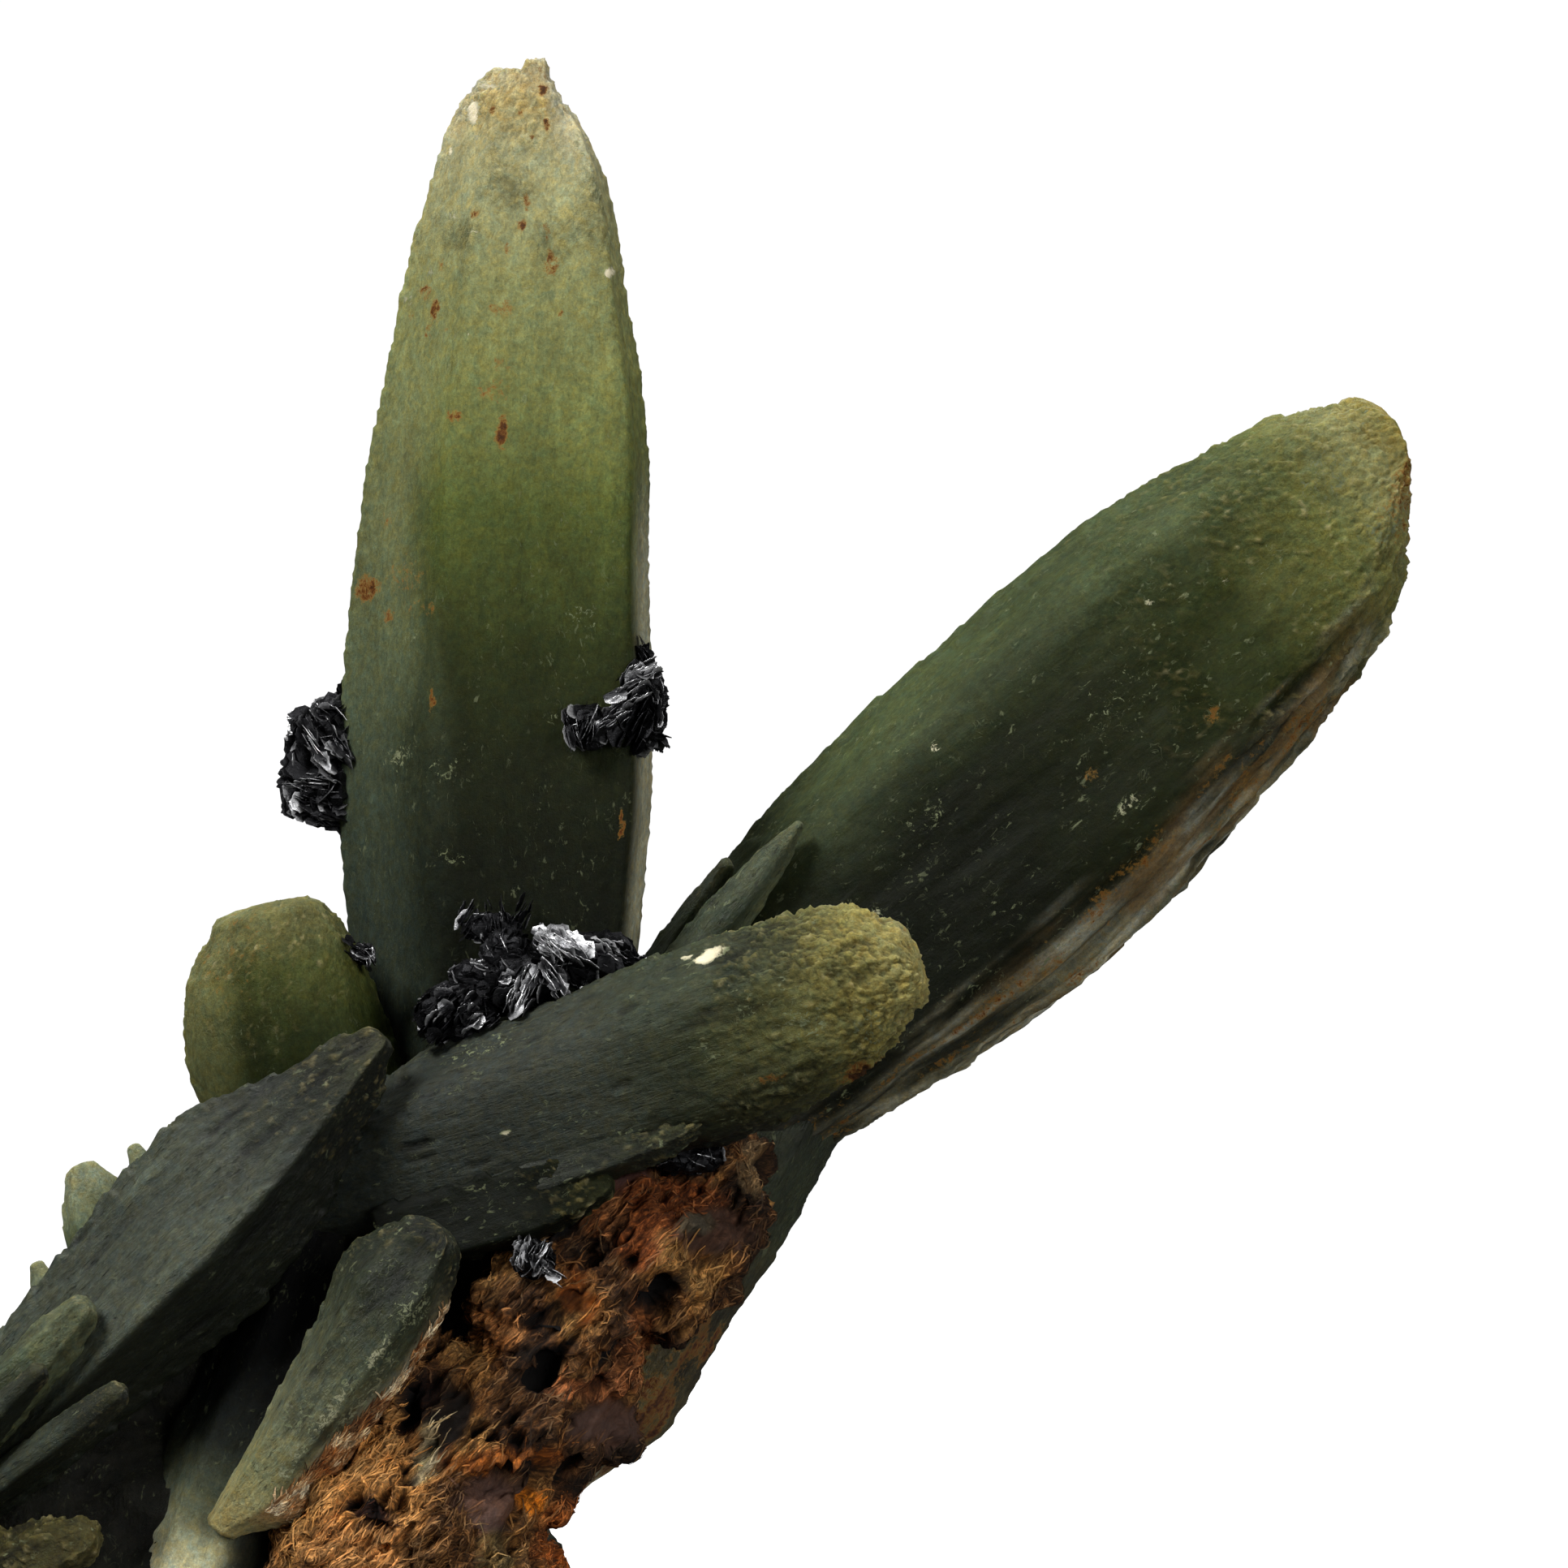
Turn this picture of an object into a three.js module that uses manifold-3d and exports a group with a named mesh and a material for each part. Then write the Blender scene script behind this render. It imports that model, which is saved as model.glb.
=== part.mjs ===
// A cluster of green prase quartz crystals with roses of hematite plates and a mass of rusty
// iron oxide. Millimetres, +Z up. The cluster rests on a flat cut at z = 0, the origin lies on
// that cut under the tall crystal, and the side that shows best faces -Y.
import * as THREE from 'three';
import { mergeVertices } from 'three/addons/utils/BufferGeometryUtils.js';
import Module from 'manifold-3d';

const wasm = await Module();
wasm.setup();

// Driving dimensions
const CLEARANCE = 0.32;       // gap left between the quartz and what sits on it
const EDGE_CUT = 0.14;        // share of a crystal's side taken off at each of its edges
const TIP_ROUGHNESS = 0.05;   // how far a rough tip's corners lie out of line, as a share
const CUT_SIZE = 400;         // block that takes the foot off at z = 0
const PLATE_THICKNESS = 0.6;  // a hematite plate
const PLATE_SIDES = 5;        // corners of a hematite plate
const CORE = 0.62;            // size of a rose's core to the rose

// Cross-sections: corners seen down the crystal from its tip, each [across, towards the viewer]
// from -1 to 1, in order from the front round by the right side.
const SECTIONS = {
  tabular: [[0.87, 1], [1, 0.1], [0.6, -0.9], [-0.5, -1], [-1, -0.15], [-0.4, 0.8]],
  leaning: [[0.66, 1], [1, 0.2], [0.62, -1], [-0.5, -1], [-1, -0.2], [-0.66, 0.74]],
  pointing: [[0.7, 0.8], [1, -0.1], [0.5, -1], [-0.5, -1], [-1, 0], [-0.42, 1]],
  ridged: [[0.16, 1], [1, 0.2], [0.78, -0.8], [-0.3, -1], [-0.9, -0.6], [-1, 0.1]],
  regular: [[0.45, 1], [1, 0.1], [0.55, -0.9], [-0.5, -1], [-1, -0.05], [-0.5, 0.9]],
  blade: [[0.3, 1], [1, 0], [0.3, -1], [-0.3, -1], [-1, 0], [-0.3, 1]],
};

// Crystals: foot and tip of the axis, and stations along it, each
// [distance from the foot, half-width left, half-width right, half-depth front, half-depth back].
// From the distance `rough` on, the corners are uneven. Grains are the small crystal ends that
// make a tip knobbly: [from, to, how many, size].
const CRYSTALS = {
  tall: {
    foot: [0.3, 1, 33.9], tip: [2.6, 1, 101.4], section: 'tabular', bevel: true,
    stations: [
      [-14, 5.6, 5.4, 5.0, 5.0], [0, 8.2, 7.6, 6.4, 6.0], [14, 9.5, 8.7, 7.0, 6.4],
      [21, 10.4, 9.1, 7.2, 6.6], [27, 10.4, 9.1, 7.1, 6.6], [35.5, 9.9, 8.5, 6.9, 6.4],
      [43, 9.2, 8.3, 6.6, 6.1],
      [47.5, 8.4, 7.7, 6.2, 5.7], [52.5, 7.6, 6.6, 5.6, 5.2], [57, 6.8, 5.8, 4.9, 4.6],
      [57.6, 6.4, 5.7, 4.8, 4.5], [60.8, 5.7, 4.8, 4.1, 3.9], [63.2, 5.0, 3.6, 3.4, 3.2],
      [65.2, 4.0, 2.0, 2.6, 2.5], [66.8, 2.7, 1.1, 1.4, 1.3],
    ],
    rough: 60,
  },
  right: {
    foot: [9.2, 5, 35.1], tip: [57.1, 1, 77.9], section: 'leaning', bevel: true,
    stations: [
      [-14, 3.6, 4.6, 4.2, 4.4], [0, 6.2, 7.6, 5.4, 5.4], [8.5, 7.9, 8.8, 6.4, 6.2],
      [15, 8.8, 9.8, 7.0, 6.6], [20, 9.6, 10.7, 7.3, 6.9], [28, 10.2, 11.4, 7.5, 7.0],
      [35, 10.1, 11.2, 7.4, 6.9],
      [41, 10.1, 10.4, 7.1, 6.6], [47, 9.7, 9.5, 6.7, 6.2], [51.5, 8.7, 8.4, 6.2, 5.7],
      [55.5, 7.8, 7.4, 5.5, 5.0], [58.5, 7.0, 6.3, 4.7, 4.3], [61, 5.3, 3.4, 3.7, 3.4],
      [63.2, 4.1, 1.3, 2.4, 2.2],
    ],
    rough: 50,
    grains: [[49, 59, 5, 1.2]],
  },
  right_blade: {
    foot: [9.6, -1.6, 42.2], tip: [19.3, -3.0, 54.3], section: 'blade',
    stations: [
      [0, 1.6, 1.9, 1.5, 2.2], [8, 1.5, 1.6, 1.3, 2.2], [13, 1.0, 1.1, 0.9, 1.7],
      [15.4, 0.3, 0.3, 0.4, 0.8],
    ],
  },
  right_edge: {
    foot: [9.6, 3.0, 43.4], tip: [14.6, 1.0, 51.8], section: 'blade',
    stations: [[0, 1.5, 2.6, 2.2, 2.2], [6, 1.0, 2.2, 1.7, 2.0], [9.9, 0.3, 0.7, 0.7, 1.2]],
  },
  front: {
    foot: [-7.1, -7, 33.7], tip: [26.6, -16, 45.8], section: 'pointing', bevel: true,
    stations: [
      [-8, 2.2, 3.0, 2.8, 3.2], [0, 3.6, 5.2, 4.0, 4.6], [6, 5.3, 6.1, 4.7, 5.0], [14, 5.5, 5.6, 4.9, 5.1],
      [20.5, 6.0, 5.6, 5.1, 5.2], [21.4, 6.0, 6.1, 5.1, 5.2], [25.5, 5.9, 5.8, 5.1, 5.0],
      [29.5, 5.6, 5.0, 4.8, 4.6], [32.6, 5.3, 3.9, 4.2, 4.0], [34.8, 3.9, 2.6, 3.1, 2.9],
      [36.4, 2.2, 1.0, 1.6, 1.5],
    ],
    rough: 24,
    grains: [[22, 35, 10, 1.2]],
  },
  front_step: {
    foot: [-4.6, -9.8, 31.6], tip: [14.5, -15.4, 37.6], section: 'blade',
    stations: [
      [0, 2.2, 2.6, 2.0, 2.2], [10, 2.0, 2.6, 2.1, 2.2], [16, 1.4, 2.1, 1.8, 1.9],
      [20.4, 0.4, 0.7, 0.8, 0.9],
    ],
  },
  front_low: {
    foot: [-5.4, -10.4, 28.6], tip: [8.9, -14.4, 33.4], section: 'blade',
    stations: [
      [0, 2.0, 1.6, 1.9, 2.0], [9, 2.0, 2.2, 2.0, 2.0], [12.5, 1.5, 1.6, 1.6, 1.6],
      [15.4, 0.4, 0.5, 0.8, 0.8],
    ],
  },
  long: {
    foot: [-43.1, -6, 3.8], tip: [-5.8, -13, 41.3], section: 'ridged', bevel: true,
    stations: [
      [0, 3.0, 3.2, 3.2, 3.2], [16, 3.4, 4.0, 4.0, 4.0], [24, 4.0, 4.9, 4.5, 4.5],
      [30, 4.7, 5.5, 4.9, 4.9], [36.4, 5.4, 6.0, 5.2, 5.2], [41.5, 5.6, 5.4, 4.8, 4.8],
      [44.8, 4.3, 4.6, 4.0, 4.0], [48, 2.7, 2.9, 3.0, 3.0], [50.3, 2.0, 1.7, 2.0, 2.0],
      [53, 0.6, 0.6, 0.6, 0.6],
    ],
    rough: 44,
  },
  blunt: {
    foot: [-8.3, -3, 30.2], tip: [-12.4, -4, 49.5], section: 'regular', bevel: true,
    stations: [
      [0, 6.4, 5.6, 4.6, 4.6], [8, 7.3, 5.1, 4.9, 4.9], [11, 7.7, 4.8, 4.9, 4.9],
      [14.5, 7.0, 4.1, 4.6, 4.6], [16.6, 6.4, 3.4, 4.0, 4.0], [18.2, 4.7, 2.7, 3.1, 3.1],
      [19.6, 1.9, 0.9, 1.4, 1.4],
    ],
    rough: 10,
    grains: [[11, 18, 5, 1.0]],
  },
  wedge: {
    foot: [-15.6, -12, 12.4], tip: [-1.9, -16, 30.5], section: 'regular',
    stations: [
      [0, 0.7, 1.2, 1.0, 1.2], [3.6, 1.1, 4.0, 2.4, 2.8], [8.8, 1.9, 3.8, 3.0, 3.4],
      [14.9, 2.9, 3.7, 3.3, 3.6], [17.8, 3.3, 3.3, 3.1, 3.4], [21.4, 2.2, 1.6, 2.0, 2.2],
      [23, 1.0, 0.8, 0.9, 1.0],
    ],
  },
  leg: {
    foot: [-20.4, -8, -1], tip: [-8.5, -7, 31.4], section: 'regular',
    stations: [
      [0, 4.6, 4.6, 4.2, 4.2], [10, 4.7, 4.4, 4.2, 4.2], [18, 4.8, 4.2, 4.0, 4.0],
      [30, 3.4, 3.4, 3.0, 3.0], [34.5, 1.5, 1.5, 1.4, 1.4],
    ],
  },
  needle: {
    foot: [-37.4, -7, 8.1], tip: [-20.2, -19, 21.4], section: 'blade',
    stations: [
      [0, 1.3, 1.5, 1.5, 1.5], [14, 1.2, 1.3, 1.3, 1.4], [21, 0.9, 1.1, 1.0, 1.1],
      [24.8, 0.3, 0.3, 0.4, 0.4],
    ],
  },
  side_blade: {
    foot: [-38.0, -10, 10.7], tip: [-22.8, -15, 26.2], section: 'regular',
    stations: [
      [0, 1.6, 2.4, 2.0, 2.2], [13, 1.4, 2.2, 1.9, 2.2], [19, 0.7, 1.3, 1.2, 1.5],
      [22, 0.3, 0.3, 0.4, 0.5],
    ],
  },
  low_blade: {
    foot: [-38.6, -11, 10.0], tip: [-25.0, -17, 22.7], section: 'blade',
    stations: [[0, 1.2, 1.7, 1.5, 1.6], [13, 1.0, 1.5, 1.3, 1.5], [19, 0.3, 0.4, 0.4, 0.5]],
  },
  knobby: {
    foot: [-37.4, -8, 6.0], tip: [-22.3, -17, 12.3], section: 'regular',
    stations: [
      [0, 2.4, 2.8, 2.4, 2.4], [11, 2.5, 2.8, 2.5, 2.5], [15.4, 2.3, 2.3, 2.2, 2.2],
      [17.8, 1.5, 1.2, 1.3, 1.3],
    ],
    rough: 10,
    grains: [[9, 16, 5, 0.9]],
  },
  point_high: {
    foot: [-20.6, -7, 25.0], tip: [-24.6, -5, 33.4], section: 'regular',
    stations: [
      [0, 3.0, 2.6, 2.2, 2.2], [5.4, 2.5, 2.4, 1.9, 1.9], [7.8, 1.3, 1.9, 1.2, 1.2],
      [9.6, 0.4, 0.5, 0.4, 0.4],
    ],
  },
  point_small: {
    foot: [-19.0, -7.6, 30.5], tip: [-21.2, -6, 34.7], section: 'regular',
    stations: [[0, 1.5, 1.5, 1.3, 1.3], [3.2, 1.1, 1.1, 0.9, 0.9], [4.9, 0.4, 0.4, 0.3, 0.3]],
  },
  point_low: {
    foot: [-25.0, -7, 22.6], tip: [-27.1, -6, 27.6], section: 'regular',
    stations: [[0, 1.5, 1.5, 1.3, 1.3], [3.8, 1.1, 1.1, 0.9, 0.9], [5.4, 0.4, 0.4, 0.3, 0.3]],
  },
  under: {
    foot: [5.1, 0, 13.0], tip: [19.0, 3, 38.1], section: 'regular',
    stations: [
      [0, 1.2, 0.4, 1.4, 1.4], [3, 3.0, 1.8, 2.8, 2.8], [6.2, 4.6, 3.5, 3.6, 3.6],
      [12, 5.0, 3.6, 4.0, 4.0], [20, 5.2, 4.0, 4.2, 4.2], [28.7, 5.2, 4.1, 4.2, 4.2],
    ],
  },
  back_left: {
    foot: [-14, 6, 8], tip: [-29, 24, 19], section: 'regular',
    stations: [
      [0, 5.0, 5.0, 4.6, 4.6], [14, 4.9, 4.9, 4.5, 4.5], [20, 3.8, 3.8, 3.4, 3.4],
      [24.4, 1.2, 1.2, 1.0, 1.0],
    ],
    rough: 13,
  },
  back_tall: {
    foot: [-7, 5, 14], tip: [-8, 23, 38], section: 'regular',
    stations: [
      [0, 5.4, 5.4, 4.8, 4.8], [16, 5.2, 5.2, 4.6, 4.6], [24, 4.0, 4.0, 3.6, 3.6],
      [29.4, 1.2, 1.2, 1.0, 1.0],
    ],
    rough: 15,
  },
  back_right: {
    foot: [1, 5, 14], tip: [8.5, 22, 33], section: 'regular',
    stations: [
      [0, 4.4, 4.4, 4.2, 4.2], [14, 4.2, 4.2, 3.9, 3.9], [21, 3.2, 3.2, 2.9, 2.9],
      [26.2, 0.9, 0.9, 0.8, 0.8],
    ],
    rough: 13,
  },
  back_low: {
    foot: [-24, 4, 4], tip: [-43, 15, 12], section: 'regular',
    stations: [
      [0, 4.6, 4.6, 4.2, 4.2], [13, 4.4, 4.4, 4.0, 4.0], [19, 3.2, 3.2, 2.9, 2.9],
      [23.2, 1.0, 1.0, 0.9, 0.9],
    ],
  },
  back_foot: {
    foot: [-6, 6, 5], tip: [-2, 25, 15], section: 'regular',
    stations: [
      [0, 4.6, 4.6, 4.2, 4.2], [13, 4.4, 4.4, 4.0, 4.0], [18, 3.0, 3.0, 2.7, 2.7],
      [21.6, 0.9, 0.9, 0.8, 0.8],
    ],
  },
  back_middle: {
    foot: [0, 6, 24], tip: [4, 19, 41], section: 'regular', rough: 12,
    stations: [
      [0, 4.0, 4.0, 3.8, 3.8], [12, 3.8, 3.8, 3.5, 3.5], [18, 2.8, 2.8, 2.6, 2.6],
      [21.8, 0.9, 0.9, 0.8, 0.8],
    ],
  },
  back_top: {
    foot: [-10, 5, 26], tip: [-17, 17, 34], section: 'regular', rough: 9,
    stations: [
      [0, 3.4, 3.4, 3.2, 3.2], [10, 3.2, 3.2, 3.0, 3.0], [13.6, 2.3, 2.3, 2.1, 2.1],
      [16.2, 0.8, 0.8, 0.7, 0.7],
    ],
  },
  back_side: {
    foot: [-14, 5, 14], tip: [-25, 18, 27], section: 'regular', rough: 12,
    stations: [
      [0, 3.6, 3.6, 3.4, 3.4], [12, 3.4, 3.4, 3.2, 3.2], [17, 2.4, 2.4, 2.2, 2.2],
      [20.4, 0.8, 0.8, 0.7, 0.7],
    ],
  },
  back_end: {
    foot: [-36, 2, 0], tip: [-49, 9, 9], section: 'regular', rough: 9,
    stations: [
      [0, 4.0, 4.0, 3.6, 3.6], [10, 3.6, 3.6, 3.2, 3.2], [14.4, 2.4, 2.4, 2.1, 2.1],
      [17, 0.8, 0.8, 0.7, 0.7],
    ],
  },
};

// Massive quartz that the crystals grow from: [x, y, z, half-sizes along x, y, z]
const FOOT_LUMPS = [
  [-8, 4, 22, 13.5, 10, 17.5],
  [-21, 3, 8, 18.5, 13.5, 13.5],
  [-36, 1, 2, 13, 11, 9.5],
  [-3.5, 6, 4, 8.5, 12.5, 12],
  [-18, 0, 21, 9, 6.5, 10],
];

// Low lens-shaped ridges along the crystals' faces:
// crystal, distance from the foot, place round the section (corners from 0), half-length
const LENSES = [
  ['front', 9, 5.4, 4.6], ['front', 15, 5.75, 3.8], ['front', 13, 0.3, 4.2],
  ['long', 31, 5.5, 5.2], ['long', 38, 5.8, 4.4], ['long', 24, 5.6, 4.6],
  ['right', 17, 0.4, 5.0], ['right', 30, 0.6, 6.4], ['right', 42, 0.4, 5.0],
];

// Iron oxide lumps: [x, y, z, half-sizes along x, y, z, fineness]
const OXIDE_LUMPS = [
  [14.0, -6.9, 31.8, 3.6, 3.6, 4.6, 1],
  [9.6, -8.4, 28.4, 6.4, 4.6, 5.6, 2],
  [4.6, -9.4, 24.6, 5.6, 4.6, 6.4, 2],
  [5.4, -7.0, 19.6, 4.2, 5.0, 5.4, 1],
  [-0.6, -9.8, 16.6, 6.2, 5.0, 7.4, 2],
  [-5.6, -11.6, 11.0, 6.6, 4.8, 7.4, 2],
  [-0.6, -9.0, 6.0, 5.6, 6.6, 8.6, 2],
  [3.4, -5.6, 1.0, 6.8, 6.8, 4.6, 1],
];

// Hollows in the iron oxide: [x, y, z, half-sizes along x, y, z]
const OXIDE_HOLLOWS = [
  [11.0, -13.4, 25.6, 1.3, 2.6, 2.0],
  [4.2, -14.6, 21.4, 2.0, 2.6, 1.4],
  [1.0, -14.8, 15.0, 2.2, 2.4, 1.6],
  [-6.4, -17.0, 11.6, 2.4, 2.6, 1.3],
  [8.4, -11.6, 17.2, 1.2, 1.8, 1.6],
  [15.4, -10.4, 31.2, 1.1, 1.6, 1.6],
  [-1.6, -15.4, 8.4, 2.0, 2.2, 1.4],
];

// Hematite roses. Each fan is [x, y, z, half-sizes along x, y, z, how many plates], its plates
// stand on edge round the direction `out`, in which the rose grows.
const ROSES = {
  hematite_rose_left: { out: [-1, 0.2, 0.1], fans: [[-10.4, 3.2, 58.3, 3.3, 3.4, 4.7, 7]] },
  hematite_rose_right: {
    out: [0.55, -0.8, 0.2],
    fans: [[9.3, -5.4, 61.9, 2.5, 2.7, 4.0, 6], [6.4, -6.9, 60.2, 2.1, 1.2, 2.1, 3]],
  },
  hematite_rose_front: {
    out: [0.1, -0.8, 0.6],
    fans: [
      [6.5, -8.8, 46.4, 4.0, 2.6, 2.7, 6], [2.6, -9.0, 44.9, 3.3, 2.5, 2.7, 3],
      [-1.4, -9.4, 43.0, 3.4, 2.4, 2.5, 5],
    ],
  },
  hematite_tuft: { out: [-0.1, -1, 0.2], fans: [[0.6, -6.6, 48.4, 3.0, 1.0, 1.8, 4]] },
  hematite_flake: { out: [0.1, -1, 0.3], fans: [[-7.3, -5.6, 46.4, 1.3, 1.4, 1.1, 3]] },
  hematite_rose_low: { out: [-0.1, -1, 0.2], fans: [[3.5, -13.9, 28.4, 1.8, 1.4, 1.6, 4]] },
  hematite_plate: { out: [0.2, -0.9, -0.3], fans: [[12.6, -10.2, 34.4, 2.5, 1.6, 1.3, 4]] },
};

const COLOURS = {
  quartz: { color: 0x55663c, roughness: 0.4, metalness: 0 },
  oxide: { color: 0x7a4420, roughness: 0.95, metalness: 0 },
  hematite: { color: 0x2c2e33, roughness: 0.3, metalness: 1 },
};

const DEPTH = new THREE.Vector3(0, 1, 0);
// The part of a section that faces the viewer, counted in corners
const FRONT_START = 4.3;
const FRONT_SPAN = 2.6;

// Repeatable random numbers from 0 to 1
function randomFrom(seed) {
  let state = seed * 7919 + 17;
  return () => {
    state = (state * 1103515245 + 12345) % 2147483648;
    return state / 2147483648;
  };
}

function toSolid(geometry) {
  const plain = new THREE.BufferGeometry();
  plain.setAttribute('position', geometry.getAttribute('position'));
  if (geometry.index) {
    plain.setIndex(geometry.index);
  }
  const merged = mergeVertices(plain, 1e-5);
  return new wasm.Manifold(new wasm.Mesh({
    numProp: 3,
    vertProperties: new Float32Array(merged.getAttribute('position').array),
    triVerts: new Uint32Array(merged.index.array),
  }));
}

function toGeometry(solid) {
  const mesh = solid.getMesh();
  const geometry = new THREE.BufferGeometry();
  geometry.setAttribute('position', new THREE.BufferAttribute(mesh.vertProperties, 3));
  geometry.setIndex(new THREE.BufferAttribute(mesh.triVerts, 1));
  return geometry;
}

function joined(solids) {
  return solids.reduce((sum, solid) => sum.add(solid));
}

function largestOf(solid) {
  return solid.decompose().reduce((best, piece) => (piece.volume() > best.volume() ? piece : best));
}

// Axis, side and front directions of a crystal
function frameOf(spec) {
  const foot = new THREE.Vector3(...spec.foot);
  const axis = new THREE.Vector3(...spec.tip).sub(foot).normalize();
  const side = new THREE.Vector3().crossVectors(DEPTH, axis).normalize();
  const front = new THREE.Vector3().crossVectors(side, axis);
  return { foot, axis, side, front };
}

// Corners of the section, each edge cut into two where the crystal is bevelled
function cornersOf(spec) {
  const corners = SECTIONS[spec.section];
  if (!spec.bevel) {
    return corners;
  }
  const bevelled = corners.flatMap((corner, i) => {
    const before = corners[(i + corners.length - 1) % corners.length];
    const after = corners[(i + 1) % corners.length];
    return [before, after].map((other) => corner.map((v, k) => v + (other[k] - v) * EDGE_CUT));
  });
  const least = [0, 1].map((k) => Math.min(...bevelled.map((corner) => corner[k])));
  const most = [0, 1].map((k) => Math.max(...bevelled.map((corner) => corner[k])));
  return bevelled.map((corner) => corner.map((v, k) => (v < 0 ? -v / least[k] : v / most[k])));
}

function pointOf(frame, station, corner, grow) {
  const [distance, left, right, front, back] = station;
  const [across, forward] = corner;
  const u = across * ((across < 0 ? left : right) + grow);
  const v = forward * ((forward > 0 ? front : back) + grow);
  return frame.foot.clone()
    .addScaledVector(frame.axis, distance)
    .addScaledVector(frame.side, u)
    .addScaledVector(frame.front, v);
}

// A crystal: a cylinder whose rings are moved to the stations of its axis
function crystalSolid(spec, grow) {
  const frame = frameOf(spec);
  const corners = cornersOf(spec);
  const last = spec.stations.length - 1;
  const geometry = new THREE.CylinderGeometry(1, 1, 1, corners.length, last);
  const position = geometry.getAttribute('position');
  for (let i = 0; i < position.count; i += 1) {
    const ring = Math.round((position.getY(i) + 0.5) * last);
    const radius = Math.hypot(position.getX(i), position.getZ(i));
    const turn = Math.atan2(position.getX(i), position.getZ(i)) / (2 * Math.PI);
    const k = Math.round(turn * corners.length + corners.length) % corners.length;
    const station = [...spec.stations[ring]];
    if (ring === last) {
      station[0] += grow;
    }
    const uneven = station[0] > (spec.rough ?? Infinity) ? TIP_ROUGHNESS : 0;
    const reach = 1 + uneven * Math.sin(7.3 * k * (ring + 1) + 2.2 * ring);
    const corner = radius < 0.5 ? [0, 0] : corners[k].map((v) => v * reach);
    const point = pointOf(frame, station, corner, grow);
    position.setXYZ(i, point.x, point.y, point.z);
  }
  return toSolid(geometry);
}

// Station and corner in between two given ones
function between(list, at) {
  const i = Math.floor(at);
  const share = at - i;
  const a = list[i % list.length];
  const b = list[(i + 1) % list.length];
  return a.map((v, k) => v + (b[k] - v) * share);
}

function stationAt(spec, distance) {
  const { stations } = spec;
  const next = Math.max(1, stations.findIndex((station) => station[0] >= distance));
  const span = stations[next][0] - stations[next - 1][0];
  return between(stations, next - 1 + Math.min(0.999, (distance - stations[next - 1][0]) / span));
}

function placed(geometry, middle, direction, spin) {
  geometry.rotateY(spin);
  geometry.applyQuaternion(new THREE.Quaternion().setFromUnitVectors(DEPTH, direction));
  geometry.translate(middle.x, middle.y, middle.z);
  return toSolid(geometry);
}

// The small crystal ends on a rough tip, pointing along the crystal and a little outwards
function grainSolids(spec, grow, seed) {
  const frame = frameOf(spec);
  const random = randomFrom(seed);
  const corners = SECTIONS[spec.section];
  return (spec.grains ?? []).flatMap(([from, to, count, size]) => Array.from({ length: count }, () => {
    const station = stationAt(spec, from + (to - from) * random());
    const corner = between(corners, FRONT_START + FRONT_SPAN * random());
    const middle = pointOf(frame, station, corner.map((v) => v * 0.9), 0);
    const out = pointOf(frame, station, corner, 0).sub(pointOf(frame, station, [0, 0], 0)).normalize();
    const direction = frame.axis.clone().addScaledVector(out, 0.1 + 0.2 * random()).normalize();
    const radius = size * (0.6 + 0.8 * random()) + grow;
    const geometry = new THREE.SphereGeometry(radius, 5, 3);
    geometry.scale(1, 2, 1);
    return placed(geometry, middle, direction, Math.PI * random());
  }));
}

// A low lens-shaped ridge lying along a crystal's face
function lensSolid([name, distance, place, halfLength], grow) {
  const spec = CRYSTALS[name];
  const frame = frameOf(spec);
  const corner = between(SECTIONS[spec.section], place);
  const middle = pointOf(frame, stationAt(spec, distance), corner.map((v) => v * 0.97), 0);
  const geometry = new THREE.SphereGeometry(1, 5, 4);
  geometry.scale(0.9 + grow, halfLength, 0.9 + grow);
  return placed(geometry, middle, frame.axis, 0.3);
}

// Smooth unevenness between about -1 and 1
function unevenness(x, y, z, scale) {
  return Math.sin(x * scale + 1.7 * Math.sin(z * scale * 0.7)) * Math.sin(y * scale * 1.3 + 2.1)
    + 0.6 * Math.sin(z * scale * 1.9 + 1.3 * Math.sin(x * scale * 1.1 + 0.5));
}

function lumpSolid([x, y, z, rx, ry, rz], grow, detail, rough, scale) {
  const geometry = new THREE.IcosahedronGeometry(1, detail);
  const position = geometry.getAttribute('position');
  for (let i = 0; i < position.count; i += 1) {
    const point = new THREE.Vector3().fromBufferAttribute(position, i);
    const place = [point.x * rx + x, point.y * ry + y, point.z * rz + z];
    const swell = 1 + rough * unevenness(...place, scale);
    position.setXYZ(
      i,
      x + point.x * (rx * swell + grow),
      y + point.y * (ry * swell + grow),
      z + point.z * (rz * swell + grow),
    );
  }
  return toSolid(geometry);
}

// Everything below the cut
function cutFoot(solid) {
  const block = new THREE.BoxGeometry(CUT_SIZE, CUT_SIZE, CUT_SIZE);
  block.translate(0, 0, -CUT_SIZE / 2);
  return solid.subtract(toSolid(block));
}

function clusterSolid(grow) {
  const specs = Object.values(CRYSTALS);
  return joined([
    ...FOOT_LUMPS.map((lump) => lumpSolid(lump, grow, 1, 0.12, 0.4)),
    ...specs.map((spec) => crystalSolid(spec, grow)),
    ...specs.flatMap((spec, i) => grainSolids(spec, grow, i + 1)),
    ...LENSES.map((lens) => lensSolid(lens, grow)),
  ]);
}

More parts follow.
